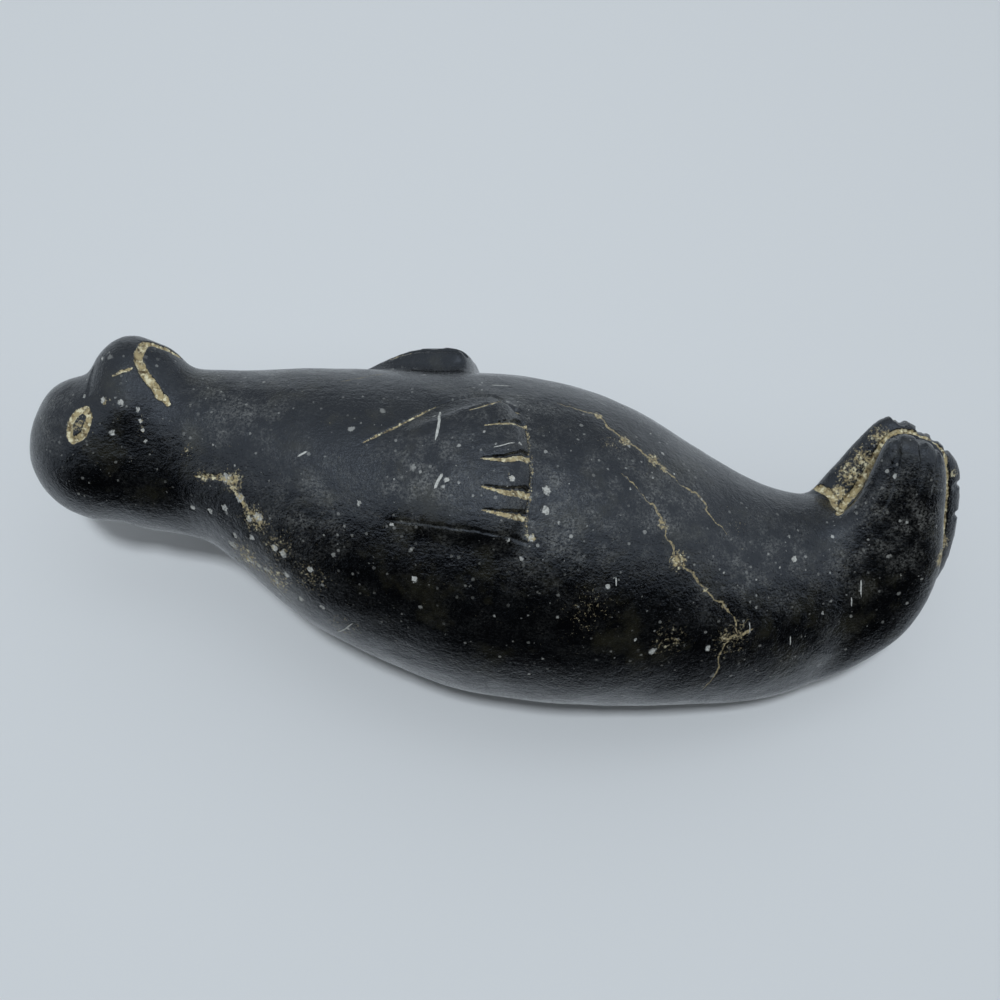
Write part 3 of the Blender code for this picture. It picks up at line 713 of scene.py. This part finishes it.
class Carving:
    """All lines and spots of the seal, worked into a fine mesh of it."""

    REACH = 5.0  # how far from a line its distance is still written, in millimetres
    FAR = 1000.0  # the distance written for a point out of reach
    BATCH = 3000  # points measured at once
    # What is written to the mesh, with its value where nothing is worked.
    SHOWN = {
        # dust_and_sheen is partly real dust and partly pale specks laid over the lit areas as a painted
        # highlight.
        "dust_and_sheen": 0.0, "fill": 0.0, "vein": 9.0, "vein_share": 0.0, "scratch": 99.0, "scratch_share": 0.0,
        "chipped": -1.0,
    }

    def __init__(self, obj: Object, features: Features) -> None:
        """Lay the features on the skin of the uncut stone.

        Args:
            obj: The uncut stone.
            features: What is worked into it.
        """
        self.obj = obj
        skin = BVHTree.FromObject(obj, bpy.context.evaluated_depsgraph_get())
        self.strokes = [(stroke, stroke.curve(skin)) for stroke in features.strokes()]
        self.chips = [
            replace(chip, place=tuple(skin.find_nearest(Vector(chip.place) * MM)[0] / MM))
            for chip in features.chips()
        ]
        # Soil is real; dust_and_sheen is partly real dust and partly a painted highlight laid over the lit
        # areas.
        self.soft_spots = (("fill", 0.2, features.soils()), ("dust_and_sheen", 0.1, features.dust_and_sheen_spots()))

    def refine(self, margin: float, rounds: int) -> None:
        """Subdivide the skin where it is worked.

        Args:
            margin: How far past a line's half width the fine skin reaches, in millimetres.
            rounds: How often the faces there are halved.
        """
        for turn in range(rounds):
            places = vertex_array(self.obj) / MM
            near = np.zeros(len(places), dtype=bool)
            for stroke, line in self.strokes:
                reach = 0.5 * stroke.width + margin * (1.0 if turn == 0 else 0.55)
                near |= self._distance(places, line, reach + 1.0)[0] < reach
            for chip in self.chips:
                near |= np.linalg.norm(places - np.array(chip.place), axis=1) < chip.radius + margin * 0.4
            with editing(self.obj):
                bpy.ops.mesh.select_mode(type="VERT")
                bpy.ops.mesh.select_all(action="DESELECT")
            self.obj.data.vertices.foreach_set("select", near)
            bpy.ops.object.mode_set(mode="EDIT")
            bpy.ops.mesh.select_mode(type="FACE")
            bpy.ops.mesh.subdivide(number_cuts=1, smoothness=1.0)
            bpy.ops.object.mode_set(mode="OBJECT")

    def _distance(
        self, places: np.ndarray, line: np.ndarray, reach: float
    ) -> tuple[np.ndarray, np.ndarray, np.ndarray]:
        """Measure how far points lie from a line.

        Args:
            places: Points in millimetres.
            line: The line's points in millimetres.
            reach: Points farther from the line's box than this are skipped.

        Returns:
            For each point its distance, the share of the line's length where it is nearest, and the
            index of the nearest span. A skipped point has the distance FAR.
        """
        distance = np.full(len(places), self.FAR)
        share = np.zeros(len(places))
        span = np.zeros(len(places), dtype=int)
        low, high = line.min(axis=0) - reach, line.max(axis=0) + reach
        index = np.nonzero(np.all((places >= low) & (places <= high), axis=1))[0]
        starts, steps = line[:-1], line[1:] - line[:-1]
        lengths = np.maximum(np.linalg.norm(steps, axis=1), 1e-9)
        before = np.concatenate(([0.0], np.cumsum(lengths)[:-1]))
        total = lengths.sum()
        for part in np.array_split(index, max(1, len(index) // self.BATCH + 1)):
            if len(part) == 0:
                continue
            away = places[part][:, None, :] - starts[None, :, :]
            t = np.clip((away * steps[None]).sum(axis=2) / lengths[None] ** 2, 0.0, 1.0)
            gap = np.linalg.norm(away - t[:, :, None] * steps[None], axis=2)
            best = gap.argmin(axis=1)
            rows = np.arange(len(part))
            distance[part] = gap[rows, best]
            share[part] = (before[best] + t[rows, best] * lengths[best]) / total
            span[part] = best
        return distance, share, span

    def cut(self) -> None:
        """Sink the lines and chips into the skin and write what shows there as attributes."""
        places = vertex_array(self.obj) / MM
        outward = vertex_array(self.obj, "normal")
        count = len(places)
        depth = np.zeros(count)
        shown = {name: np.full(count, start) for name, start in self.SHOWN.items()}
        vein_away = np.full(count, self.SHOWN["vein"])
        for stroke, line in self.strokes:
            distance, share, span = self._distance(places, line, self.REACH)
            near = np.nonzero(distance < self.REACH)[0]
            if len(near) == 0:
                continue
            away, along = distance[near], share[near]
            across = np.cross(np.diff(line, axis=0)[span[near]], outward[near])
            sign = np.sign((across * (places[near] - line[span[near]])).sum(axis=1))
            fade = stroke.fade(along)
            if stroke.kind in (Line.CUT, Line.CREASE):
                # A gouge: round at its bottom, or steep on one side where it leans.
                uneven = np.array([noise.noise(Vector(p) * 0.9) for p in places[near]])
                half = 0.5 * stroke.width * fade * (1.0 + 0.22 * uneven)
                inside = np.clip(1.0 - (away / half) ** 2, 0.0, 1.0) ** 0.8
                side = np.clip(away / half, 0.0, 1.5) * sign * (stroke.lean or 1.0)
                if stroke.lean:
                    inside = np.clip(np.minimum((1.0 - side) / 1.5, (1.0 + side) / 0.4), 0.0, 1.0)
                depth[near] = np.maximum(depth[near], stroke.depth * fade * inside)
                if stroke.kind is Line.CUT:
                    raw = smooth_step(1.12, 0.72, away / half)
                    if stroke.lean:
                        raw = raw * smooth_step(-0.45, -0.05, side)
                    shown["fill"][near] = np.maximum(shown["fill"][near], raw * stroke.strength)
                continue
            # A vein or a scratch: how far across it a point lies, in its own half widths.
            half = 0.5 * stroke.width
            beyond = away / np.maximum(fade, 0.05)
            scaled = sign * beyond / half
            name = stroke.kind.value
            if stroke.kind is Line.VEIN:
                closer = beyond < vein_away[near]
                vein_away[near] = np.where(closer, beyond, vein_away[near])
                sunk = stroke.depth * np.clip(1.0 - (away / half) ** 2, 0.0, 1.0)
                depth[near] = np.maximum(depth[near], sunk)
                soft = smooth_step(3.5, 2.0, away)
            else:
                closer = np.abs(scaled) < np.abs(shown[name][near])
                soft = smooth_step(1.6, 0.9, away)
            soft = stroke.strength * soft * ((along > 0.0) & (along < 1.0))
            shown[name][near] = np.where(closer, scaled, shown[name][near])
            shown[f"{name}_share"][near] = np.where(closer, soft, shown[f"{name}_share"][near])
        for chip in self.chips:
            radii = chip.radii(places)
            near = np.nonzero(radii < 3.0)[0]
            waves = max(0.5, chip.radius)
            ragged = np.array([noise.noise(Vector(p) * 2.6 / waves) for p in places[near]])
            away = radii[near] * (1.0 + 0.55 * ragged)
            shown["chipped"][near] = np.maximum(shown["chipped"][near], 1.0 - away)
            depth[near] = np.maximum(depth[near], chip.strength * smooth_step(1.0, 0.4, away))
        for name, core, spots in self.soft_spots:
            for spot in spots:
                thick = spot.strength * smooth_step(1.0, core, spot.radii(places))
                shown[name] = np.maximum(shown[name], thick)
        put_vertices(self.obj, (places - outward * depth[:, None]) * MM)
        for name, values in shown.items():
            layer = self.obj.data.attributes.new(name, "FLOAT", "POINT")
            layer.data.foreach_set("value", values.astype(np.float32))


@dataclass
class Seal:
    """The whole carving as one piece of stone."""

    roll_deg: float = 52.0
    nod_deg: float = -1.5
    flat_depth: float = 1.4
    body_rub: tuple[float, int] = (0.8, 24)  # grain in millimetres, and passes
    blade_rub: tuple[float, int] = (0.95, 10)
    hollows: Sequence[Point] = ((0.3, 0.075, 0.6), (0.1, 0.2, 0.5))  # depth, waves a millimetre, lift
    cheek: tuple[float, float] = (24.0, 22.6)
    cheek_spread: tuple[float, float] = (10.0, 4.6)
    cheek_proud: float = 1.5
    fine_margin: float = 1.1
    fine_rounds: int = 2
    trunk: Trunk = field(default_factory=Trunk)
    head: Head = field(default_factory=Head)
    hind: HindFlippers = field(default_factory=HindFlippers)

    def __post_init__(self) -> None:
        """Lay a blade along each flank, and find how the seal lies."""
        self.blades = (
            ForeFlipper(Side.RIGHT, self.trunk),
            ForeFlipper(Side.LEFT, self.trunk, relief=5.5, shift=-9.0),
        )
        nod, roll = math.radians(self.nod_deg), math.radians(-self.roll_deg)
        self.pose = Matrix.Rotation(nod, 4, "Y") @ Matrix.Rotation(roll, 4, "X")
        self.middle = Vector((0.0, 0.0, 0.0))

    def shape(self) -> Object:
        """Join the forms and rub their joins smooth.

        Returns:
            The uncut stone in the seal's own frame.
        """
        stone = self.trunk.build()
        self._unite(stone, self.head.build() + self.hind.build(), *self.body_rub)
        self._unite(stone, [blade.build() for blade in self.blades], *self.blade_rub)
        stone.name = "seal_stone"
        return stone

    @staticmethod
    def _unite(stone: Object, others: Sequence[Object], grain: float, passes: int) -> None:
        """Join forms that overlap into one closed body, and rub it smooth as sanding does.

        Args:
            stone: The body to join them to.
            others: The forms, which are used up.
            grain: Size of the even grid that the skin gets, in millimetres.
            passes: How often it is smoothed.
        """
        for other in others:
            apply_modifier(stone, "BOOLEAN", operation="UNION", solver="EXACT", object=other)
            bpy.data.objects.remove(other, do_unlink=True)
        apply_modifier(stone, "REMESH", mode="VOXEL", voxel_size=grain * MM)
        apply_modifier(stone, "SMOOTH", factor=0.5, iterations=passes)

    def wear(self, stone: Object) -> None:
        """Leave the low, uneven hollows of grinding by hand all over the skin.

        Args:
            stone: The stone in the seal's own frame.
        """
        places = vertex_array(stone) / MM
        outward = vertex_array(stone, "normal")
        hollow = np.array(
            [
                sum(depth * (noise.noise(Vector(p) * waves) + lift) for depth, waves, lift in self.hollows)
                for p in places
            ]
        )
        put_vertices(stone, (places - outward * np.maximum(hollow, 0.02)[:, None]) * MM)

    def fill_cheeks(self, stone: Object) -> None:
        """Stand the cheeks out under the eyes, so that they turn sharply below the snout.

        Args:
            stone: The stone in the seal's own frame.
        """
        places = vertex_array(stone) / MM
        along, rise = ((places[:, (0, 2)] - self.cheek) / self.cheek_spread).T
        bulge = self.cheek_proud * np.exp(-(along**2) - rise**2)
        bulge = bulge * smooth_step(4.0, 8.0, np.abs(places[:, 1]))
        places[:, 1] += np.sign(places[:, 1]) * bulge
        put_vertices(stone, places * MM)

    def lay_down(self, stone: Object) -> None:
        """Roll the stone onto its flank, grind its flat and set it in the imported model's place.

        Args:
            stone: The carved stone in the seal's own frame.
        """
        stone.data.transform(self.pose)
        places = vertex_array(stone)
        low, high = places.min(axis=0), places.max(axis=0)
        level = low[2] + self.flat_depth * MM
        self.middle = Vector((0.5 * (low[0] + high[0]), 0.5 * (low[1] + high[1]), level))
        stone.data.transform(Matrix.Translation(-self.middle))
        floor = {"plane_co": (0, 0, 0), "plane_no": (0, 0, 1)}
        with editing(stone):
            bpy.ops.mesh.bisect(**floor, use_fill=True, clear_inner=True, threshold=1e-6)
        face_outward(stone)

    def build(self) -> Object:
        """Shape, carve and lay down the seal.

        Returns:
            The finished stone.
        """
        stone = self.shape()
        LOG.info("shaped: %d vertices", len(stone.data.vertices))
        self.fill_cheeks(stone)
        self.wear(stone)
        carving = Carving(stone, Features(self.trunk, self.blades))
        carving.refine(self.fine_margin, self.fine_rounds)
        LOG.info("refined: %d vertices", len(stone.data.vertices))
        carving.cut()
        self.lay_down(stone)
        take_up(stone)
        bpy.ops.object.shade_smooth()
        bpy.ops.object.shade_smooth_by_angle(angle=math.radians(60.0))
        return stone


def add_node(
    tree: NodeTree, kind: str, inputs: dict | None = None, out: str | int = 0, **settings: object
) -> NodeSocket:
    """Add a node with its settings and links.

    Args:
        tree: The tree to add it to.
        kind: The node's type, without "ShaderNode".
        inputs: By input name or number, the socket that feeds it or its value.
        out: The name or number of the output to give back.
        settings: Values of the node's properties.

    Returns:
        That output of the new node.
    """
    node = tree.nodes.new(f"ShaderNode{kind}")
    for name, value in settings.items():
        setattr(node, name, value)
    for name, value in (inputs or {}).items():
        if isinstance(value, NodeSocket):
            tree.links.new(value, node.inputs[name])
        else:
            node.inputs[name].default_value = value
    return node.outputs[out]


@dataclass(frozen=True)
class PolishedStone:
    """Black soapstone, cut by hand, rubbed smooth and waxed: bluish black, softly glossy, a little dusty,
    with pale specks over the lit areas that paint in the mottled highlight.
    """

    black: str = "030304"
    grey: str = "070809"
    olive: str = "26241a"
    tan: str = "ab9a72"
    brown: str = "54442b"
    cream: str = "ddd2ae"
    pale: str = "c6c4bb"
    shine: str = "eaf1fb"
    roughness: float = 0.17
    bare_roughness: float = 0.85
    bump_depth: float = 0.00009
    # Grains a metre, detail and roughness of each noise.
    noises: Sequence[tuple[str, float, float, float]] = (
        ("clouds", 150.0, 4.0, 0.6), ("olive", 95.0, 5.0, 0.65), ("fine", 1900.0, 4.0, 0.75),
        ("dust", 230.0, 4.0, 0.65), ("grain", 2300.0, 2.0, 0.6), ("lumps", 520.0, 3.0, 0.6),
        ("flakes", 1500.0, 2.0, 0.7), ("ragged", 1700.0, 5.0, 0.75), ("dirt", 850.0, 3.0, 0.6),
        ("crumbs", 1150.0, 3.0, 0.6), ("dents", 620.0, 4.0, 0.65),
    )
    # Dots a metre, the share of them that is left out, their half width and how pale they are.
    dots: Sequence[tuple[float, float, float, float]] = (
        (760.0, 0.6, 0.26, 0.4), (430.0, 0.66, 0.19, 0.75), (170.0, 0.76, 0.11, 0.8),
    )

    def material(self) -> Material:
        """Make the stone's material.

        Returns:
            The material.
        """
        stone = bpy.data.materials.new("waxed_black_stone")
        stone.use_nodes = True
        tree = stone.node_tree
        shader = tree.nodes["Principled BSDF"]
        shader.inputs["IOR"].default_value = 1.6
        shader.inputs["Specular IOR Level"].default_value = 0.82
        shader.inputs["Specular Tint"].default_value = linear(self.shine)
        node = partial(add_node, tree)
        add, times = {"operation": "ADD"}, {"operation": "MULTIPLY"}
        place = node("TexCoord", out="Object")
        noises = {
            name: node("TexNoise", {"Vector": place, "Scale": scale, "Detail": detail, "Roughness": rough})
            for name, scale, detail, rough in self.noises
        }
        grain = noises["grain"]
        worked = {name: node("Attribute", out="Fac", attribute_name=name) for name in Carving.SHOWN}

        # The block: black with greyer and faintly olive clouds a few millimetres wide.
        tones = {0: noises["clouds"], 6: linear(self.black), 7: linear(self.grey)}
        ground = node("Mix", tones, 2, data_type="RGBA")
        layers = [(node("MapRange", {0: noises["olive"], 1: 0.52, 2: 0.7}), self.olive)]
        # Painted sheen together with real dust: how thickly pale dust is laid, raised over the lit areas to
        # paint in the mottled highlight.
        dust_and_sheen_haze = node("Math", {0: node("Math", {0: worked["dust_and_sheen"], 1: 1.35}, **times), 1: 0.1}, **add)

        # Dust and bare grains: pale dots of 0.2 to 0.5 mm, and fewer ragged flakes of about 1 mm, thicker
        # where the dust and the painted sheen lie, so that they also paint in part of the highlight.
        for scale, bare, width, strength in self.dots:
            cells = node("TexVoronoi", {"Vector": place, "Scale": scale}).node.outputs
            chosen = node("SeparateColor", {0: cells["Color"]}).node.outputs
            size = node("MapRange", {0: chosen[0], 1: bare, 4: width})
            speckle = node("TexNoise", {"Vector": place, "Scale": scale * 6.0})
            uneven = node("MapRange", {0: speckle, 1: 0.3, 2: 0.7, 3: -0.05, 4: 0.05})
            rim = node("Math", {0: cells["Distance"], 1: uneven}, **add)
            rim = node("Math", {0: rim, 1: size}, operation="SUBTRACT")
            dots = node("MapRange", {0: rim, 1: 0.02, 2: -0.03})
            paleness = node("MapRange", {0: chosen[1], 3: 0.08, 4: strength})
            dust_and_sheen_density = node("MapRange", {0: dust_and_sheen_haze, 1: 0.1, 2: 0.9, 3: 0.7, 4: 1.1})
            for share in (paleness, dust_and_sheen_density):
                dots = node("Math", {0: dots, 1: share}, **times)
            layers.append((dots, self.pale))

        # A film of fine dust, thicker where the wax is dull and where pale painted sheen is laid over the lit
        # areas.
        dust_and_sheen = node("MapRange", {0: noises["fine"], 1: 0.42, 2: 0.68})
        patches = node("MapRange", {0: noises["dust"], 1: 0.42, 2: 0.62, 3: 0.01, 4: 0.25})
        for share in (patches, dust_and_sheen_haze):
            dust_and_sheen = node("Math", {0: dust_and_sheen, 1: share}, **times)
        layers.append((dust_and_sheen, self.pale))

        # Veins: tan mineral lines with a wandering width, broken here and there.
        reach = node("Math", {0: noises["lumps"], 1: 4.6, 2: -1.5}, operation="MULTIPLY_ADD")
        across = node("Math", {0: worked["vein"]}, operation="ABSOLUTE")
        beyond = node("Math", {0: across, 1: reach}, operation="SUBTRACT")
        vein = node("MapRange", {0: beyond, 1: 0.25, 2: -0.25})
        broken = node("MapRange", {0: grain, 1: 0.38, 2: 0.56, 3: 0.15, 4: 0.9})
        for share in (worked["vein_share"], broken):
            vein = node("Math", {0: vein, 1: share}, **times)
        layers.append((vein, self.tan))

        # Scratches and chips: bare pale stone.
        across = node("Math", {0: worked["scratch"]}, operation="ABSOLUTE")
        scratch = node("MapRange", {0: across, 1: 1.1, 2: 0.7})
        scratch = node("Math", {0: scratch, 1: worked["scratch_share"]}, **times)
        flakes = node("MapRange", {0: noises["flakes"], 3: -0.65, 4: 0.65})
        chip = node("MapRange", {0: node("Math", {0: worked["chipped"], 1: flakes}, **add), 1: 0.1, 2: 0.3})
        for mark, low, least, most in ((scratch, 0.3, 0.5, 0.95), (chip, 0.35, 0.35, 0.9)):
            patchy = node("MapRange", {0: grain, 1: low, 2: 0.6, 3: least, 4: most})
            layers.append((node("Math", {0: mark, 1: patchy}, **times), self.pale))
        for share, tone in layers:
            ground = node("Mix", {0: share, 6: ground, 7: linear(tone)}, 2, data_type="RGBA")

        # Cuts: raw tan stone with brown dirt, ragged toward the rims.
        ragged = node("MapRange", {0: noises["ragged"], 3: -1.2, 4: 1.2})
        soiled = node("MapRange", {0: node("Math", {0: worked["fill"], 1: ragged}, **add), 1: 0.4, 2: 0.72})
        dirt = node("MapRange", {0: noises["dirt"], 1: 0.36, 2: 0.54})
        raw = node("Mix", {0: dirt, 6: linear(self.brown), 7: linear(self.tan)}, 2, data_type="RGBA")
        crumbs = node("MapRange", {0: noises["crumbs"], 1: 0.5, 2: 0.62})
        raw = node("Mix", {0: crumbs, 6: raw, 7: linear(self.cream)}, 2, data_type="RGBA")
        colour = node("Mix", {0: soiled, 6: ground, 7: raw}, 2, data_type="RGBA")
        tree.links.new(colour, shader.inputs["Base Color"])

        # The polish: streaks along the body from rubbing, fine pits, dull where the stone is bare.
        rubbed = node("Mapping", {"Vector": place, "Scale": (260.0, 1500.0, 1500.0)})
        streaks = node("TexNoise", {"Vector": rubbed, "Scale": 1.0, "Detail": 4.0})
        bare = soiled
        for mark in (vein, scratch, chip):
            bare = node("Math", {0: bare, 1: mark}, operation="MAXIMUM")
        uneven = [
            node("MapRange", {0: source, 1: low, 2: high, 3: least, 4: most})
            for source, low, high, least, most in (
                (noises["clouds"], 0.35, 0.65, -0.07, 0.1),
                (streaks, 0.3, 0.7, -0.05, 0.06),
                (noises["fine"], 0.4, 0.7, -0.04, 0.12),
            )
        ]
        waxed = uneven[0]
        for more in (uneven[1], uneven[2], self.roughness):
            waxed = node("Math", {0: waxed, 1: more}, **add)
        tree.links.new(node("Mix", {0: bare, 2: waxed, 3: self.bare_roughness}), shader.inputs["Roughness"])
        depths = ((grain, 1.1), (noises["dents"], 2.4), (streaks, 0.45))
        pits = [node("Math", {0: source, 1: depth}, **times) for source, depth in depths]
        height = pits[0]
        for more in pits[1:]:
            height = node("Math", {0: height, 1: more}, **add)
        bump = node("Bump", {"Strength": 1.0, "Distance": self.bump_depth, "Height": height})
        tree.links.new(bump, shader.inputs["Normal"])
        return stone


@dataclass(frozen=True)
class Panel:
    """One soft lamp panel, in metres; it shines down before it is turned."""

    place: Point
    turn_deg: Point
    size: tuple[float, float]
    glow: float
    tint: str = "e3edf8"
    mirrored: bool = True


@dataclass
class Studio:
    """The pale floor, the soft light and the camera."""

    floor_colour: str = "dddcd9"
    # Painted shade: the dark reflection that the polish shows of the floor in front of the seal, seen by
    # glossy rays only.
    floor_shade: str = "121315"  # what the polish mirrors of the floor in front of the seal
    shade_span: tuple[float, float] = (-0.045, -0.11)  # where along Y that shade begins and is full
    backdrop: str = "ccd2d6"
    room: float = 0.004  # brightness of the room that lights the seal
    camera_tilt_deg: float = 22.0  # from square onto the seal's right side toward its belly
    aim_along: float = 95.9 * MM
    distance: float = 0.290
    lens: float = 51.2
    panels: Sequence[Panel] = (
        Panel((0.0, 0.525, 1.0), (0.0, 0.0, 0.0), (3.2, 2.05), 0.55),
        Panel((0.0, 1.55, 0.5), (-90.0, 0.0, 0.0), (3.2, 1.0), 0.35),
        Panel((1.6, 0.5, 0.5), (0.0, 90.0, 0.0), (1.0, 2.1), 0.6),
        Panel((-1.6, 0.2, 0.5), (0.0, -90.0, 0.0), (1.0, 2.7), 0.4),
        Panel((0.05, 0.2, 0.9), (0.0, 0.0, 0.0), (0.6, 0.24), 1.1),
        Panel((-0.06, -0.1, 1.0), (0.0, 0.0, 0.0), (0.08, 0.08), 300.0, mirrored=False),
    )

    def floor(self) -> None:
        """Lay a plain pale floor; glossy rays see it dark in front of the seal, a painted reflection standing
        in for a dark room there.
        """
        bpy.ops.object.select_all(action="DESELECT")
        bpy.ops.mesh.primitive_plane_add(size=6.0)
        floor = bpy.context.object
        floor.name = "floor"
        paint = bpy.data.materials.new("pale_laminate")
        paint.use_nodes = True
        node = partial(add_node, paint.node_tree)
        shader = paint.node_tree.nodes["Principled BSDF"]
        shader.inputs["Roughness"].default_value = 0.6
        across = node("SeparateXYZ", {0: node("TexCoord", out="Object")}, 1)
        front = node("MapRange", {0: across, 1: self.shade_span[0], 2: self.shade_span[1]})
        mirrored = node("LightPath", out="Is Glossy Ray")
        dark = node("Math", {0: front, 1: mirrored}, operation="MULTIPLY")
        tones = {0: dark, 6: linear(self.floor_colour), 7: linear(self.floor_shade)}
        colour = node("Mix", tones, 2, data_type="RGBA")
        paint.node_tree.links.new(colour, shader.inputs["Base Color"])
        floor.data.materials.append(paint)

    def light(self) -> None:
        """Hang soft panels above and behind the seal, over a dark room."""
        world = bpy.data.worlds.new("room")
        bpy.context.scene.world = world
        world.use_nodes = True
        tree = world.node_tree
        back = tree.nodes["Background"]
        back.inputs["Color"].default_value = linear(self.backdrop)
        seen = add_node(tree, "LightPath", out="Is Camera Ray")
        strength = add_node(tree, "MapRange", {0: seen, 3: self.room, 4: 1.0})
        tree.links.new(strength, back.inputs["Strength"])
        for panel in self.panels:
            turn = [math.radians(angle) for angle in panel.turn_deg]
            bpy.ops.object.light_add(type="AREA", location=panel.place, rotation=turn)
            lamp = bpy.context.object.data
            lamp.shape = "RECTANGLE"
            lamp.size, lamp.size_y = panel.size
            lamp.energy = panel.glow * math.pi * panel.size[0] * panel.size[1]
            lamp.color = linear(panel.tint)[:3]
            bpy.context.object.visible_glossy = panel.mirrored

    def camera(self, middle: Vector, pose: Matrix) -> None:
        """Stand the camera where the picture was taken.

        Args:
            middle: The shift that set the seal in its place, in metres.
            pose: How the seal's own frame is turned in the world.
        """
        tilt = math.radians(self.camera_tilt_deg)
        toward = pose @ Vector((0.0, -math.cos(tilt), math.sin(tilt)))
        up = pose @ Vector((0.0, math.sin(tilt), math.cos(tilt)))
        right = pose @ Vector((1.0, 0.0, 0.0))
        target = pose @ Vector((self.aim_along, 0.0, 0.0)) - middle
        data = bpy.data.cameras.new("camera")
        data.lens = self.lens
        data.sensor_width = 36.0
        data.clip_start = 0.01
        camera = bpy.data.objects.new("camera", data)
        bpy.context.scene.collection.objects.link(camera)
        turn = Matrix((right, up, toward)).transposed().to_4x4()
        camera.matrix_world = Matrix.Translation(target + toward * self.distance) @ turn
        bpy.context.scene.camera = camera


def main() -> None:
    """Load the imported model, dress it and light it."""
    logging.basicConfig(level=logging.INFO, format="%(name)s: %(message)s")
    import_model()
    seal = Seal()
    stone = seal.build()
    LOG.info("seal_stone: %d vertices, %d faces", len(stone.data.vertices), len(stone.data.polygons))
    stone.data.materials.clear()
    stone.data.materials.append(PolishedStone().material())
    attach(stone, "root")
    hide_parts("seal")
    studio = Studio()
    studio.floor()
    studio.light()
    studio.camera(seal.middle, seal.pose.to_3x3())
    bpy.context.scene.view_settings.view_transform = "Standard"


if __name__ == "__main__":
    main()
